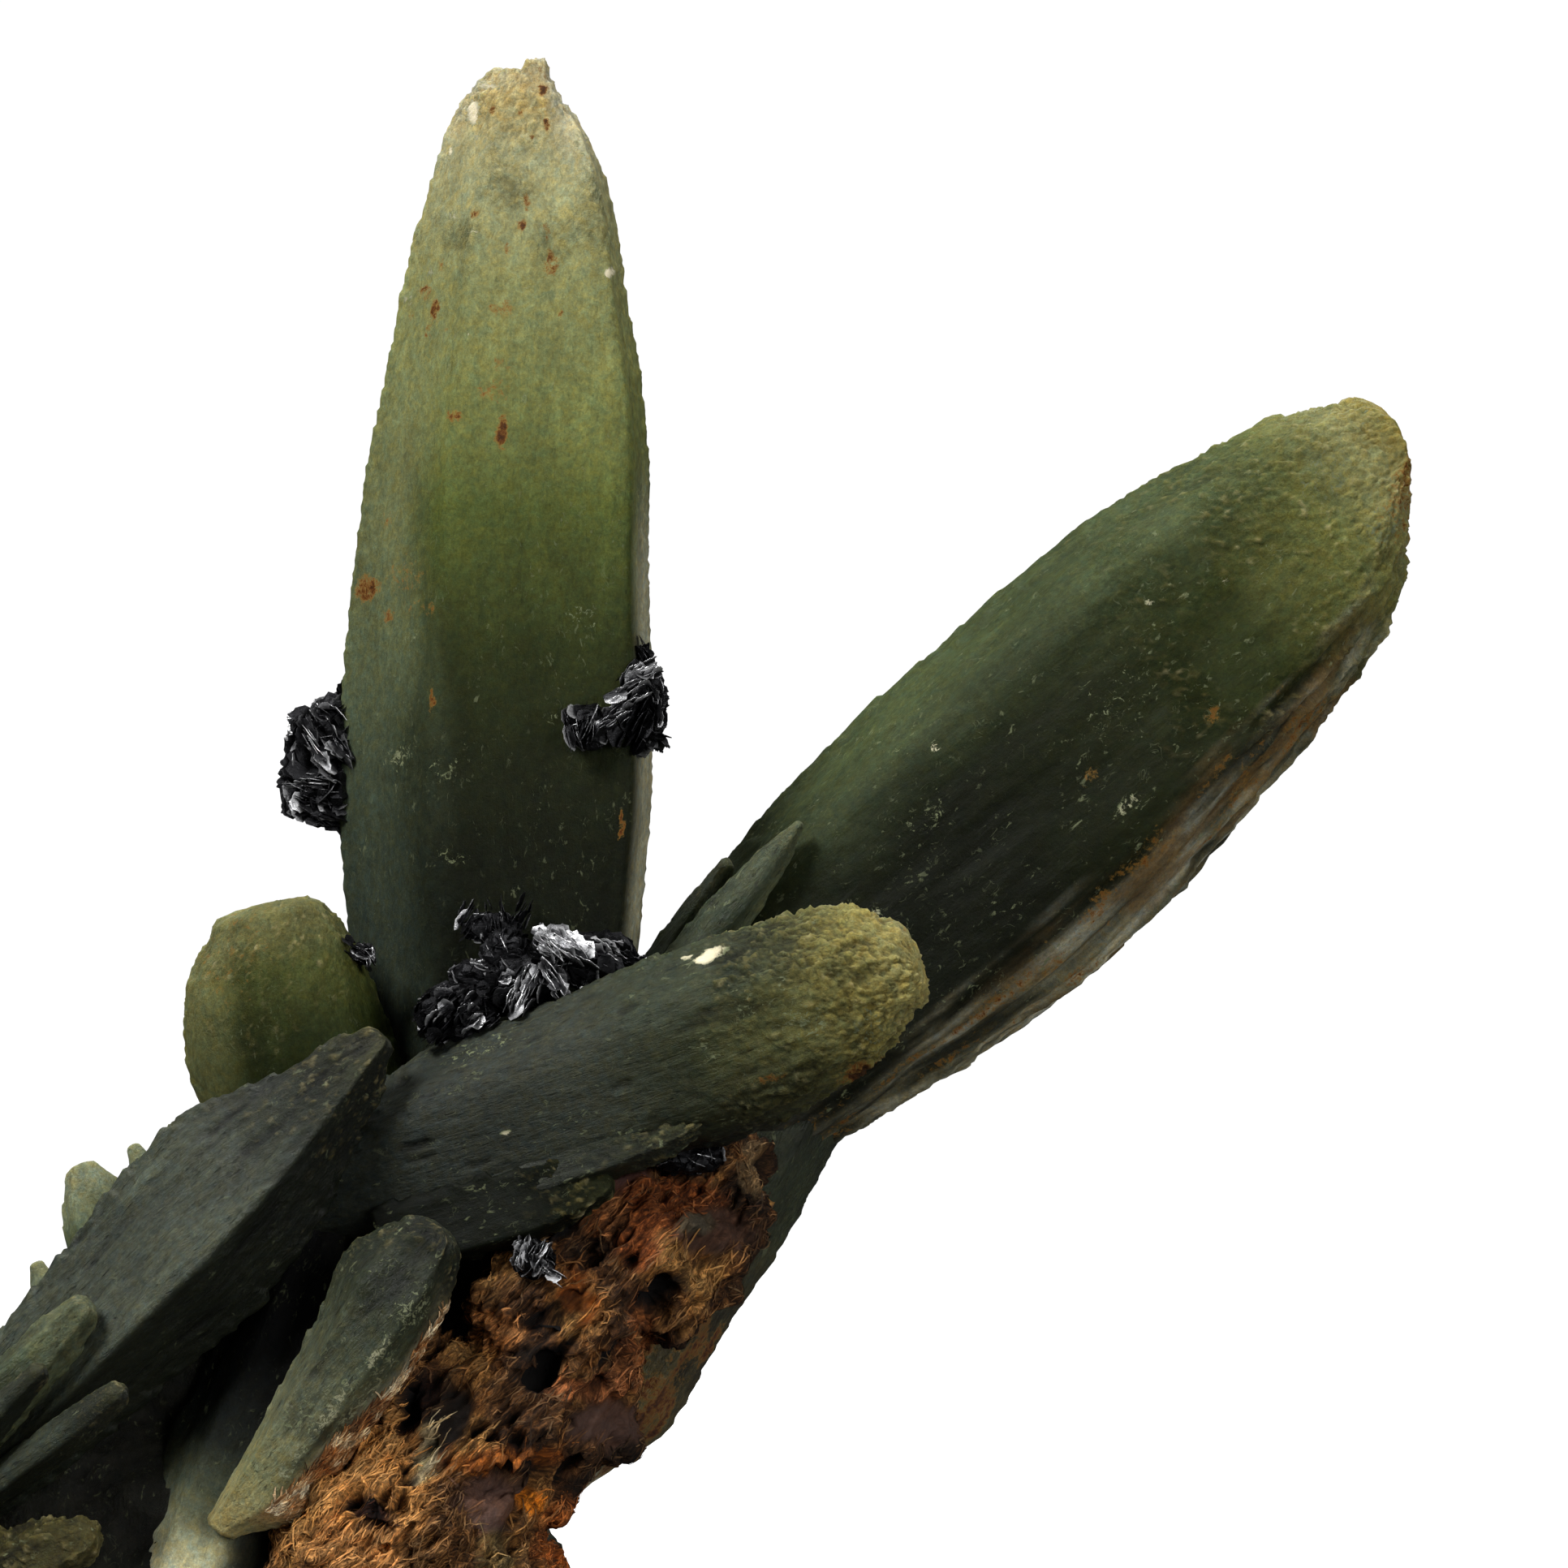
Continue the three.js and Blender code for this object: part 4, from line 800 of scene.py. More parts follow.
wedge = crystal("wedge", (-15.6, -12, 12.4), (-1.9, -16, 30.5), "regular", [
    (0, 0.7, 1.2, 1, 1.2), (3.6, 1.1, 4, 2.4, 2.8), (8.8, 1.9, 3.8, 3, 3.4),
    (14.9, 2.9, 3.7, 3.3, 3.6), (18.2, 3.8, 3.4, 3.1, 3.4), (20.4, 3.2, 2.9, 2.4, 2.8),
    (21.8, 2.2, 2.1, 1.6, 1.8),
], 0.19, wedge_tint, 10, 0.9, (0.6, 0.16), (0.7, 0.2, 0.12), bluntness=0.6, rust=wedge_rust,
    flecks=1, chips=[
    (1.3, 11, 0.7, 3.4, 0.6), (1.5, 15.4, 0.5, 2.4, 0.6), (0.2, 9, 1.8, 2.6, 0.47),
    (1.6, 18.6, 1.2, 2.2, 0.52), (1.2, 6.6, 0.9, 2.6, 0.56), (-0.8, 5, 1.6, 2.4, 0.5),
    (2.4, 13, 0.7, 5, 0.56),
])
crystal("leg", (-20.4, -8, -1), (-8.5, -7, 31.4), "regular", [
    (0, 4.6, 4.6, 4.2, 4.2), (10, 4.7, 4.4, 4.2, 4.2), (18, 4.8, 4.2, 4, 4), (30, 3.4, 3.4, 3, 3),
    (34.5, 1.5, 1.5, 1.4, 1.4),
], 0.36, leg_tint, 11, 0.97, material=prase_clear)
crystal("needle", (-37.4, -7, 8.1), (-20.2, -19, 21.4), "blade", [
    (0, 1.3, 1.5, 1.5, 1.5), (14, 1.2, 1.3, 1.3, 1.4), (21, 1.1, 1.2, 1.1, 1.1),
    (23.8, 0.8, 0.9, 0.8, 0.8),
], 0.18, long_tint, 12, 0.93, (0.5, 0.1), (1.1, 0.15, 0.08), bluntness=0.8)
crystal("side_blade", (-38, -10, 10.7), (-22.8, -15, 26.2), "regular", [
    (0, 1.6, 2.4, 2, 2.2), (13, 1.6, 2.3, 1.9, 2.2), (19, 1.4, 1.9, 1.4, 1.5),
    (21.2, 0.9, 1.3, 1, 1),
], 0.2, blade_tint, 13, 0.9, (0.5, 0.1), (0.9, 0.16, 0.16), bluntness=0.8)
crystal("low_blade", (-38.6, -11, 10), (-25, -17, 22.7), "blade", [
    (0, 1.2, 1.7, 1.5, 1.6), (13, 1, 1.5, 1.3, 1.5), (18.4, 0.6, 0.8, 0.7, 0.8),
], 0.2, long_tint, 14, 0.93, (0.5, 0.1), (1.1, 0.15, 0.08), bluntness=0.8)
crystal("knobby", (-37.4, -8, 6), (-22.3, -17, 12.3), "regular", [
    (0, 2.4, 2.8, 2.4, 2.4), (11, 2.5, 2.8, 2.5, 2.5), (15.4, 2.3, 2.3, 2.2, 2.2),
    (17.8, 1.5, 1.2, 1.3, 1.3),
], 0.23, knobby_tint, 15, 0.5, (0.9, 0.4), (0.8, 0.2, 0.12), bluntness=0.7)
crystal("point_high", (-20.6, -7, 25), (-24.6, -5, 33.4), "regular", [
    (0, 3, 2.6, 2.2, 2.2), (5.4, 2.7, 2.6, 1.9, 1.9), (7.8, 1.9, 2.1, 1.3, 1.3),
    (9.2, 0.9, 1, 0.6, 0.6),
], 0.2, pale_tint, 16, 0.8, (0.5, 0.1), material=prase_clear)
crystal("point_small", (-19, -7.6, 30.5), (-21.2, -6, 34.7), "regular", [
    (0, 1.5, 1.5, 1.3, 1.3), (3.2, 1.1, 1.1, 0.9, 0.9), (4.9, 0.4, 0.4, 0.3, 0.3),
], 0.2, pale_tint, 17, 0.8, (0.5, 0.1), material=prase_clear)
crystal("point_low", (-25, -7, 22.6), (-27.1, -6, 27.6), "regular", [
    (0, 1.5, 1.5, 1.3, 1.3), (3.8, 1.1, 1.1, 0.9, 0.9), (5.4, 0.4, 0.4, 0.3, 0.3),
], 0.2, pale_tint, 18, 0.8, (0.5, 0.1), material=prase_clear)
crystal("under", (5.1, 0, 13), (19, 3, 38.1), "regular", [
    (0, 1.2, 0.4, 1.4, 1.4), (3, 3, 1.8, 2.8, 2.8), (6.2, 4.6, 3.5, 3.6, 3.6), (12, 5, 3.6, 4, 4),
    (20, 5.2, 4, 4.2, 4.2), (28.7, 5.2, 4.1, 4.2, 4.2),
], 0.3, under_tint, 19, 0.98, (0.7, 0.1), (0.5, 0.12, 0.06), bluntness=0.5, rust=under_rust)

# Stubby crystals on the side that the photo doesn't show: foot, tip and half-width. Their
# stations are shares of the length, the half-width and for the depth again the half-width
BACK_STATIONS = ((0, 1, 0.9), (0.6, 0.96, 0.86), (0.84, 0.72, 0.64), (0.97, 0.24, 0.2))
BACK = [
    ((-14, 6, 8), (-29, 24, 19), 5.0), ((-7, 5, 14), (-8, 23, 38), 5.4),
    ((1, 5, 14), (8.5, 22, 33), 4.4), ((-24, 4, 4), (-43, 15, 12), 4.6),
    ((-6, 6, 5), (-2, 25, 15), 4.6), ((0, 6, 24), (4, 19, 41), 4.0),
    ((-10, 5, 26), (-17, 17, 34), 3.4), ((-14, 5, 14), (-25, 18, 27), 3.6),
    ((-36, 2, 0), (-49, 9, 9), 4.0),
]
for i, (foot, tip, half) in enumerate(BACK):
    span = math.dist(foot, tip)
    crystal("back_%d" % (i + 1), foot, tip, "regular",
            [(span * a, half * w, half * w, half * d, half * d) for a, w, d in BACK_STATIONS],
            0.42, back_tint, 30 + i, 0.82, (0.8, 0.2), (0.6, 0.14, 0.14), bluntness=0.8,
            rust=back_rust, grooves=0.12)


# Lumps of mass, joined by remeshing
def ball(middle, half, cuts):
    """Points and faces of a round lump: a cube whose faces are cut up and pushed out."""
    g, h = np.meshgrid(*[np.linspace(-1, 1, cuts)] * 2, indexing="ij")
    faces = grid_faces(np.arange(cuts * cuts).reshape(cuts, cuts))
    sides = []
    for axis in range(3):
        for sign in (-1, 1):
            p = np.zeros((cuts, cuts, 3))
            p[..., axis] = sign
            p[..., (axis + 1) % 3] = g * sign
            p[..., (axis + 2) % 3] = h
            p = p.reshape(-1, 3)
            p /= np.linalg.norm(p, axis=1, keepdims=True)
            sides.append((p * half + middle, faces))
    return joined(sides)


def remeshed(points, faces, voxel):
    """One closed surface round one or more overlapping ones: points, normals and triangles."""
    mesh = bpy.data.meshes.new("rough")
    mesh.from_pydata(points.tolist(), [], faces.tolist())
    body = add("rough", mesh)
    body.modifiers.new("weld", "WELD").merge_threshold = 0.01
    cover = body.modifiers.new("cover", "REMESH")
    cover.mode = "VOXEL"
    cover.voxel_size = voxel
    result = read_mesh(body.evaluated_get(bpy.context.evaluated_depsgraph_get()).to_mesh())
    bpy.data.objects.remove(body)
    return result


# The quartz that the crystals grow from: middles and half-sizes of its lumps
FOOT = [
    ((-8, 4, 22), (13.5, 10, 17.5)), ((-21, 3, 8), (18.5, 13.5, 13.5)),
    ((-36, 1, 2), (13, 11, 9.5)), ((-3.5, 6, 4), (8.5, 12.5, 12)), ((-18, 0, 21), (9, 6.5, 10)),
]
points, normals, triangles = remeshed(*joined([ball(m, h, cuts=26) for m, h in FOOT]), voxel=0.68)
total = 1.6 * chunks(points * 0.16, 61, 0.12, slope=0)
total += 0.5 * chunks(points * 0.5 + 7, 71, 0.2, slope=0) + 0.25 * layered(points * 0.8, 3, 81)
points += normals * total[:, None]
points[:, 2] = np.maximum(points[:, 2], 0)
foot_colour = ramp(layered(points * 0.09, 3, 85), (-0.8, 22, 27, 17), (0.1, 36, 42, 27),
                   (0.9, 60, 64, 44))
# painted shade: the front of the foot, behind the crystals, painted near black
painted_shade = rise(-points[:, 1], 0, 5) * rise(points[:, 2], 4, 12)
same = np.ones(len(points))
make_mesh("quartz_foot", points, triangles, {
    "tint": blend(foot_colour, (8, 9, 7), 0.9 * painted_shade), "place": points,
    "relief": np.clip(0.5 + total * 0.35, 0, 1), "rough": 0.4 * same, "grain": 0.4 * same,
    "flecks": 0.5 * same, "pale": 0 * same,
    "rust": 0.8 * rise(layered(points * 0.12, 3, 91), 0.35, 1) * (1 - painted_shade),
}, prase, "prase_cluster")


# Iron oxide
def oxide_material():
    s = Shader("iron_oxide", 0.85)
    place = s.attribute("place", "Vector")
    smooth = s.attribute("smooth")
    # fibres along the flow: bright ones over dark gaps, both in tangled drifts
    fibre = s.noise(s.scaled(place, (1.5, 1.5, 0.36)), 2.2, 7, 0.74, 1.2)
    tangle = s.noise(place, 3.4, 6, 0.78, 0.8)
    light = s.ramp(fibre, (0.34, 0.14), (0.46, 0.55), (0.56, 1.5), (0.68, 4.2))
    grit = s.ramp(tangle, (0.34, 0.5), (0.5, 1), (0.68, 1.7))
    warm = s.ramp(s.noise(place, 0.8, 4, 0.6, 0.4),
                  (0.35, (0.95, 1.05, 1.15)), (0.65, (1.08, 0.98, 0.80)))
    colour = s.filtered(s.attribute("tint", "Vector"), s.mix(smooth, light, 1),
                        s.mix(s.times(smooth, 0.75), grit, 1), warm)
    # painted shade: the lowest places painted near black
    sunk = s.ramp(s.attribute("relief"), (0.10, 1), (0.46, 0))
    rougher = s.math("SUBTRACT", 1.0, s.times(smooth, 0.8))
    normal = s.bump(s.times(fibre, rougher), 0.9, 0.0006)
    return s.surface(
        Base_Color=s.mix(sunk, colour, rgb(8, 5, 4)), Roughness=s.ramp(smooth, (0, 0.9), (1, 0.5)),
        Normal=s.bump(s.times(tangle, rougher), 0.5, 0.0003, normal), Specular_IOR_Level=0.25)


oxide = oxide_material()
cad_points, _, cad_triangles = read_mesh(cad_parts["iron_oxide"].data)
points, normals, triangles = remeshed(cad_points / MM, cad_triangles, voxel=0.26)

# Zones on its front: [x, z, half-sizes along x and z, colour, how smooth, how deep a hollow]; the
# near-black colours of the hollows are painted shade
ZONES = [
    (8.7, 33.4, 1.9, 1.1, (60, 38, 38), 0.9, 0), (11.6, 31.7, 2.8, 1.5, (98, 52, 24), 0, 0),
    (9.6, 29.2, 1.4, 1.6, (112, 60, 30), 0, 0), (14.2, 29.8, 2.4, 1.3, (62, 42, 36), 0.7, 0),
    (13, 30.4, 1.1, 0.6, (62, 54, 46), 0.6, 0), (16.4, 33.8, 1, 1.6, (96, 76, 56), 0.3, 0),
    (6.1, 26, 1.6, 1.4, (112, 60, 18), 0.6, 0.3), (4.1, 21.5, 0.9, 2.3, (8, 5, 4), 0.2, 1.7),
    (11.1, 26.2, 0.8, 1.8, (10, 8, 8), 0.2, 1.4), (-0.2, 28, 1.6, 1.8, (14, 14, 12), 0.4, 1),
    (0.9, 24.2, 2.2, 1.3, (132, 86, 52), 0, 0), (7.4, 30.8, 1.6, 1.1, (106, 66, 40), 0, 0),
    (4.8, 30, 0.8, 1.2, (14, 13, 12), 0.3, 0.8), (8, 22.6, 0.5, 2.4, (12, 8, 6), 0.2, 1),
    (-1.8, 18.3, 1.6, 2.3, (32, 22, 14), 0.6, 0.5), (7.6, 18.3, 2.5, 1.5, (66, 46, 42), 0.9, 0),
    (0.7, 14.1, 2.2, 1.5, (76, 54, 50), 0.7, 0), (3.3, 13.8, 0.8, 0.9, (196, 112, 30), 0, 0),
    (1.5, 16.4, 3.4, 0.9, (122, 68, 26), 0.2, 0), (5, 11.6, 1.5, 2.6, (150, 84, 42), 0, 0),
    (1.2, 10.4, 1.2, 1.4, (96, 78, 52), 0.1, 0), (9.6, 22.4, 1, 3, (112, 66, 38), 0, 0),
    (6.6, 20.6, 2.6, 0.9, (128, 78, 50), 0, 0), (-6.4, 15, 3.6, 4.6, (158, 112, 68), 0, 0),
    (-7, 10, 4.4, 3, (152, 106, 66), 0, 0), (-6.6, 13.8, 1.5, 0.9, (60, 28, 12), 0, 0.9),
    (-3.6, 20.4, 0.8, 1.4, (52, 26, 12), 0, 0.9), (-4.1, 18.6, 0.7, 0.9, (44, 24, 14), 0, 0.8),
    (-3, 17, 0.5, 1.5, (176, 156, 118), 0.3, 0), (-2.6, 10, 2.2, 2.4, (96, 66, 40), 0, 0),
]

# The fibres run from the lower left to the upper right: the last of these directions
lie = np.array([[0.69, 0.0, -0.72], [0.0, 1.0, 0.0], [0.72, 0.0, 0.69]])
turned = points @ lie.T
warp = swirl(points * 0.35, 2, 101)
tone = layered(points * 0.35, 3, 151)
tint = ramp(tone, (-0.9, 34, 22, 14), (-0.2, 70, 45, 27), (0.3, 104, 70, 40), (0.9, 140, 102, 62))
smooth = np.zeros(len(points))
sunk = np.zeros(len(points))
front = rise(-normals[:, 1], -0.3, 0.2)
frayed = layered(turned * (0.9, 0.7, 0.35), 3, 161)
for x, z, wide, tall, colour, sleek, deep in ZONES:
    # a hollow's long side runs along the fibres
    place, middle = (turned, (x, 0, z) @ lie.T) if deep else (points, (x, 0, z))
    gap = np.hypot((place[:, 0] - middle[0]) / wide, (place[:, 2] - middle[2]) / tall)
    gap += 0.22 * warp[:, 0] + 0.1 * tone + (0.5 if deep else 0.2) * frayed
    mask = rise(-gap, -1.2, -0.7) * front
    tint = blend(tint, colour, mask)
    smooth = smooth * (1 - mask) + sleek * mask
    sunk = np.maximum(sunk, deep * mask)
ribs = 1 - np.abs(layered(turned * (1.3, 0.9, 0.26) + warp * 0.5, 3, 111))
pores = holes(turned * (0.6, 0.5, 0.26) + warp * 0.35, 121, 0.12, 0.4, 0.74)
small_pores = holes(turned * (1.5, 1.1, 0.6) + warp * 0.5, 131, 0.1, 0.4, 0.66)
# all but the hollows made lighter, so that the hollows keep their painted shade
tint = tint * np.where(sunk[:, None] > 0.3, (1, 1, 1), (1.45, 1.4, 1.1))
bumps = 0.75 * (ribs - 0.5) - 1.2 * pores - 0.6 * small_pores
bumps += 0.3 * layered(turned * (1.4, 1.1, 0.6), 3, 141)
total = bumps * (1 - 0.85 * smooth) - sunk
points = points + normals * (total * rise(points[:, 2], 0, 1.2))[:, None]
points[:, 2] = np.maximum(points[:, 2], 0)
make_mesh("iron_oxide_mass", points, triangles, {
    "place": turned, "relief": np.clip(0.55 + 0.3 * total, 0, 1), "tint": tint, "smooth": smooth,
}, oxide, "iron_oxide")

TAN = np.array(rgb(214, 170, 118))
KNOTS = 5  # pairs of points along a thread


def strands(name, points, triangles, tints, choice, node, random, longest, highest, stray, bright):
    """Loose flat threads that follow the surface from the chosen points along the fibres."""
    surface = BVHTree.FromPolygons(points.tolist(), triangles.tolist())
    made, colours = [], []
    for n in choice:
        spot = points[n].copy()
        heading = lie[2] + stray * random.standard_normal(3)
        length = longest * random.uniform(0.25, 1.0)
        width = random.uniform(0.03, 0.065)
        lift = highest * random.uniform(0.1, 1.0) ** 2
        colour = tints[n] * random.uniform(0.5, 2.2)
        colours.append(colour + random.uniform(0, 1) ** 2 * bright * TAN)
        for k in range(KNOTS):
            found, normal, _, _ = surface.find_nearest(Vector(spot))
            found, normal = np.array(found), np.array(normal)
            along = math.sin(math.pi * (k + 0.5) / KNOTS)
            heading = unit(heading - normal * np.dot(heading, normal))
            across = np.cross(heading, normal) * width * (0.35 + 0.65 * along)
            raised = found + normal * (lift * along + 0.02)
            made += [raised + across, raised - across]
            heading = heading + 0.13 * random.standard_normal(3)
            spot = found + heading * length / KNOTS
    made = np.array(made)
    made[:, 2] = np.maximum(made[:, 2], 0.02)
    thread = np.array([(2 * k, 2 * k + 1, 2 * k + 3, 2 * k + 2) for k in range(KNOTS - 1)])
    faces = (thread + 2 * KNOTS * np.arange(len(choice))[:, None, None]).reshape(-1, 4)
    make_mesh(name, made, faces, {
        "place": made @ lie.T, "relief": np.full(len(made), 0.8),
        "smooth": np.full(len(made), 0.7), "tint": np.repeat(colours, 2 * KNOTS, axis=0),
    }, oxide, node)


THREADS, CRUST_THREADS = 7000, 2600
random = np.random.default_rng(77)
usable = np.flatnonzero((points[:, 2] > 0.6) & (total > -0.6) & (smooth < 0.5))
weight = 1 + 2.5 * rise(points[usable, 0], 1, -4) * (normals[usable, 1] < 0)
choice = random.choice(usable, THREADS, replace=False, p=weight / weight.sum())
strands("iron_oxide_strands", points, triangles, tint, choice, "iron_oxide", random,
        longest=2.4, highest=0.2, stray=0.25, bright=0.22)

# threads of the same over the wedge crystal's lower right border
points, _, triangles = read_mesh(wedge.data)
points /= MM
stained = np.empty(len(points), dtype=np.float32)
wedge.data.attributes["rust"].data.foreach_get("value", stained)
along = (points - (-15.6, -12, 12.4)) @ unit(np.array((13.7, -4, 18.1)))
usable = np.flatnonzero((stained > 0.25) & (points[:, 1] < -13) & (along > 3))
tint = ramp(layered(points * 1.15 + 5.5, 3, 92), (-0.6, 66, 34, 14), (-0.15, 132, 78, 36),
            (0.15, 160, 122, 82), (0.6, 216, 196, 160))
strands("quartz_wedge_crust", points, triangles, tint, random.choice(usable, CRUST_THREADS),
        "prase_cluster", random, longest=1.6, highest=0.12, stray=0.35, bright=0.4)


# Hematite
def hematite_material():
    s = Shader("hematite", 0.24, 0.75)
    place = s.attribute("place", "Vector")
    # tone paints each plate from near black, painted shade, to near white, painted glints
    shine = s.ramp(s.attribute("tone"), (0, (0.012, 0.012, 0.013)), (0.25, (0.04, 0.04, 0.043)),
                   (0.5, (0.5, 0.5, 0.51)), (0.8, (0.98, 0.98, 0.99)))
    patchy = s.ramp(s.noise(place, 1.6, 4, 0.6), (0.34, 0.45), (0.66, 1.35))
    return s.surface(
        Base_Color=s.filtered(shine, patchy), Specular_IOR_Level=0.15,
        Roughness=s.ramp(s.noise(place, 2.4, 3, 0.6), (0.3, 0.2), (0.7, 0.42)),
        Normal=s.bump(s.noise(s.scaled(place, (1, 1, 3)), 3.0, 5, 0.7), 0.4, 0.00015))


hematite = hematite_material()


PLATE_THICKNESS = 0.028


def plate(random, middle, run, out, length, depth, bend):
    """A thin plate on edge: its ragged rim runs along run, and it reaches inwards from there."""
    facing = np.cross(run, out)
    across = np.linspace(-1, 1, 9)
    down = (0, 0.3, 1)
    rim = 0.08 * random.standard_normal(9) - 0.6 * np.abs(across) ** 3
    wave = random.uniform(0, 6.28)
    top, bottom = [], []
    for d in down:
        for i, s in enumerate(across):
            reach = depth * (rim[i] * (1 - d) - d)
            off = length * bend * s * s + 0.012 * length * math.sin(5 * s + wave)
            p = middle + run * length * s * (1 - 0.25 * d) + out * reach + facing * off
            edge = facing * PLATE_THICKNESS * (0.5 + 0.5 * d)
            top.append(p + edge)
            bottom.append(p - edge)
    n = len(top)
    grid = np.arange(n).reshape(len(down), len(across))
    quads = grid_faces(grid)
    border = np.concatenate([grid[0, :-1], grid[:-1, -1], grid[-1, :0:-1], grid[:0:-1, 0]])
    after = np.roll(border, -1)
    walls = np.stack([border, after, after + n, border + n], axis=-1)
    # painted glints and shade: bright at the rim, dark deeper in
    glints_and_shade = np.tile(np.repeat([1.0, 0.7, 0.1], len(across)), 2)
    return np.array(top + bottom), np.concatenate([quads, quads[:, ::-1] + n, walls]), glints_and_shade


def rose(name, core, sheaves, seed):
    """Sheaves of thin plates on edge over a core of balls (middle, half-sizes), painted near black
    as shade. A sheaf is the middle of its rims, the angle in the picture that they run at, their
    half-length, the half-width of the sheaf, its depth, how many plates, how bright the painted
    glints on its rims are (least, most), how far it fans out in degrees, and the way it faces."""
    random = np.random.default_rng(seed)

    def some_way():
        return random.standard_normal(3)

    def add_plate(bright, rarity, *where):
        """A plate in its place; the higher the rarity, the fewer are near the brightest."""
        *shape, glints_and_shade = plate(random, *where, random.uniform(-0.1, 0.1))
        tone = bright[0] + (bright[1] - bright[0]) * random.uniform(0, 1) ** rarity
        parts.append((*shape, glints_and_shade * tone))

    parts = []
    for middle, half in core:
        middle, half = np.array(middle), np.array(half)
        lump, faces = ball(middle, half * 0.9, cuts=9)
        lump = middle + (lump - middle) * (1 + 0.22 * noise(lump * 2.2, seed))[:, None]
        # the core painted near black: painted shade
        parts.append((lump, faces, np.full(len(lump), 0.02)))
        size = half.mean()
        for k in range(int(20 + 8 * half.sum())):
            way = unit(some_way())
            run = unit(np.cross(way, some_way()))
            add_plate((0, 0.8), 4, middle + way * half, run, unit(way + 0.3 * some_way()),
                      size * random.uniform(0.3, 0.6), size * random.uniform(0.3, 0.6))
    for middle, angle, length, width, depth, number, bright, splay, out in sheaves:
        out = unit(np.array(out, dtype=float))
        run = np.array([math.cos(math.radians(angle)), 0.0, math.sin(math.radians(angle))])
        run = unit(run - out * np.dot(run, out))
        stack = np.cross(run, out)
        for k in range(number):
            u = 2 * (k + random.uniform(0.1, 0.9)) / number - 1
            v = random.uniform(-0.75, 0.75)
            round_off = math.sqrt(max(0.1, 1 - 0.7 * u * u - 0.5 * v * v))
            lean = math.radians(splay * u + random.normal(0, 20))
            grows = unit(out * math.cos(lean) + stack * math.sin(lean))
            way = run + 0.09 * random.standard_normal() * stack
            way = unit(way + 0.1 * random.standard_normal() * out)
            way = unit(way - grows * np.dot(way, grows))
            spot = np.array(middle) + stack * width * u + run * length * v
            spot = spot + out * depth * (0.55 * round_off - 0.5 + random.uniform(-0.1, 0.1))
            add_plate(bright, 3.4, spot, way, grows, length * random.uniform(0.28, 0.6),
                      depth * random.uniform(0.5, 0.9))
    points, faces, tones = joined(parts)
    make_mesh(name + "_plates", points, faces, {"place": points, "tone": tones}, hematite, name,
              smooth=False)


rose("hematite_rose_left", [
    ((-9.4, 3.2, 60), (2.2, 2.4, 2.4)), ((-9.6, 3.2, 56.4), (2.6, 2.6, 2.4)),
], [
    ((-9.4, 1.8, 61.9), 72, 1.5, 0.7, 1.8, 16, (0.1, 0.5), 25, (-0.4, -0.8, 0.3)),
    ((-10.5, 0.8, 59.6), -52, 2.3, 1.3, 2.4, 34, (0.25, 1), 30, (-0.3, -0.9, 0.3)),
    ((-12.4, 1.4, 59.4), -75, 2, 0.7, 2, 22, (0.15, 0.9), 30, (-0.8, -0.5, 0.2)),
    ((-11.2, 0.9, 56.9), -4, 2.1, 0.6, 2.2, 18, (0.3, 1), 22, (-0.3, -0.9, 0)),
    ((-12.8, 1.8, 56), 100, 1.6, 0.6, 1.8, 14, (0.2, 0.8), 25, (-0.8, -0.5, -0.2)),
    ((-10.6, 1.2, 55), -18, 2.4, 1.2, 2.4, 26, (0.05, 0.5), 35, (-0.3, -0.9, -0.3)),
    ((-9.6, 5.8, 58.4), 80, 2.6, 2.2, 2, 40, (0.1, 0.9), 50, (-0.6, 0.8, 0.1)),
], 201)
rose("hematite_rose_right", [
    ((9.4, -5, 61.4), (1.8, 2, 3)), ((6.4, -6.6, 60.2), (1.6, 0.8, 1.5)),
], [
    ((9.9, -5.6, 64.9), -68, 1.2, 0.5, 1.4, 10, (0.05, 0.4), 20, (0.3, -0.8, 0.5)),
    ((9.9, -7.2, 63.6), 32, 1.2, 0.8, 1.5, 18, (0.45, 1), 30, (0.2, -0.9, 0.4)),
    ((8.9, -7.5, 62.2), 36, 1.3, 0.8, 1.5, 18, (0.45, 1), 30, (0, -0.9, 0.4)),
    ((7.8, -7.7, 60.9), 38, 1.2, 0.7, 1.3, 16, (0.3, 0.95), 30, (-0.1, -0.9, 0.4)),
    ((11, -6.2, 61.8), -78, 1.6, 0.6, 1.6, 16, (0.2, 0.95), 30, (0.7, -0.7, 0)),
    ((9.3, -7.4, 60.2), 60, 1.7, 1.3, 1.6, 20, (0.05, 0.45), 45, (0.1, -1, -0.1)),
    ((10.6, -6.2, 59.2), -30, 1.3, 1, 1.6, 16, (0.05, 0.5), 35, (0.5, -0.7, -0.5)),
    ((5.2, -7.6, 60.6), 105, 1.6, 0.5, 0.9, 12, (0.2, 0.85), 25, (-0.3, -1, 0.2)),
    ((6.4, -7.8, 60), 70, 1.3, 0.7, 0.9, 12, (0.15, 0.7), 25, (0, -1, 0)),
], 202)
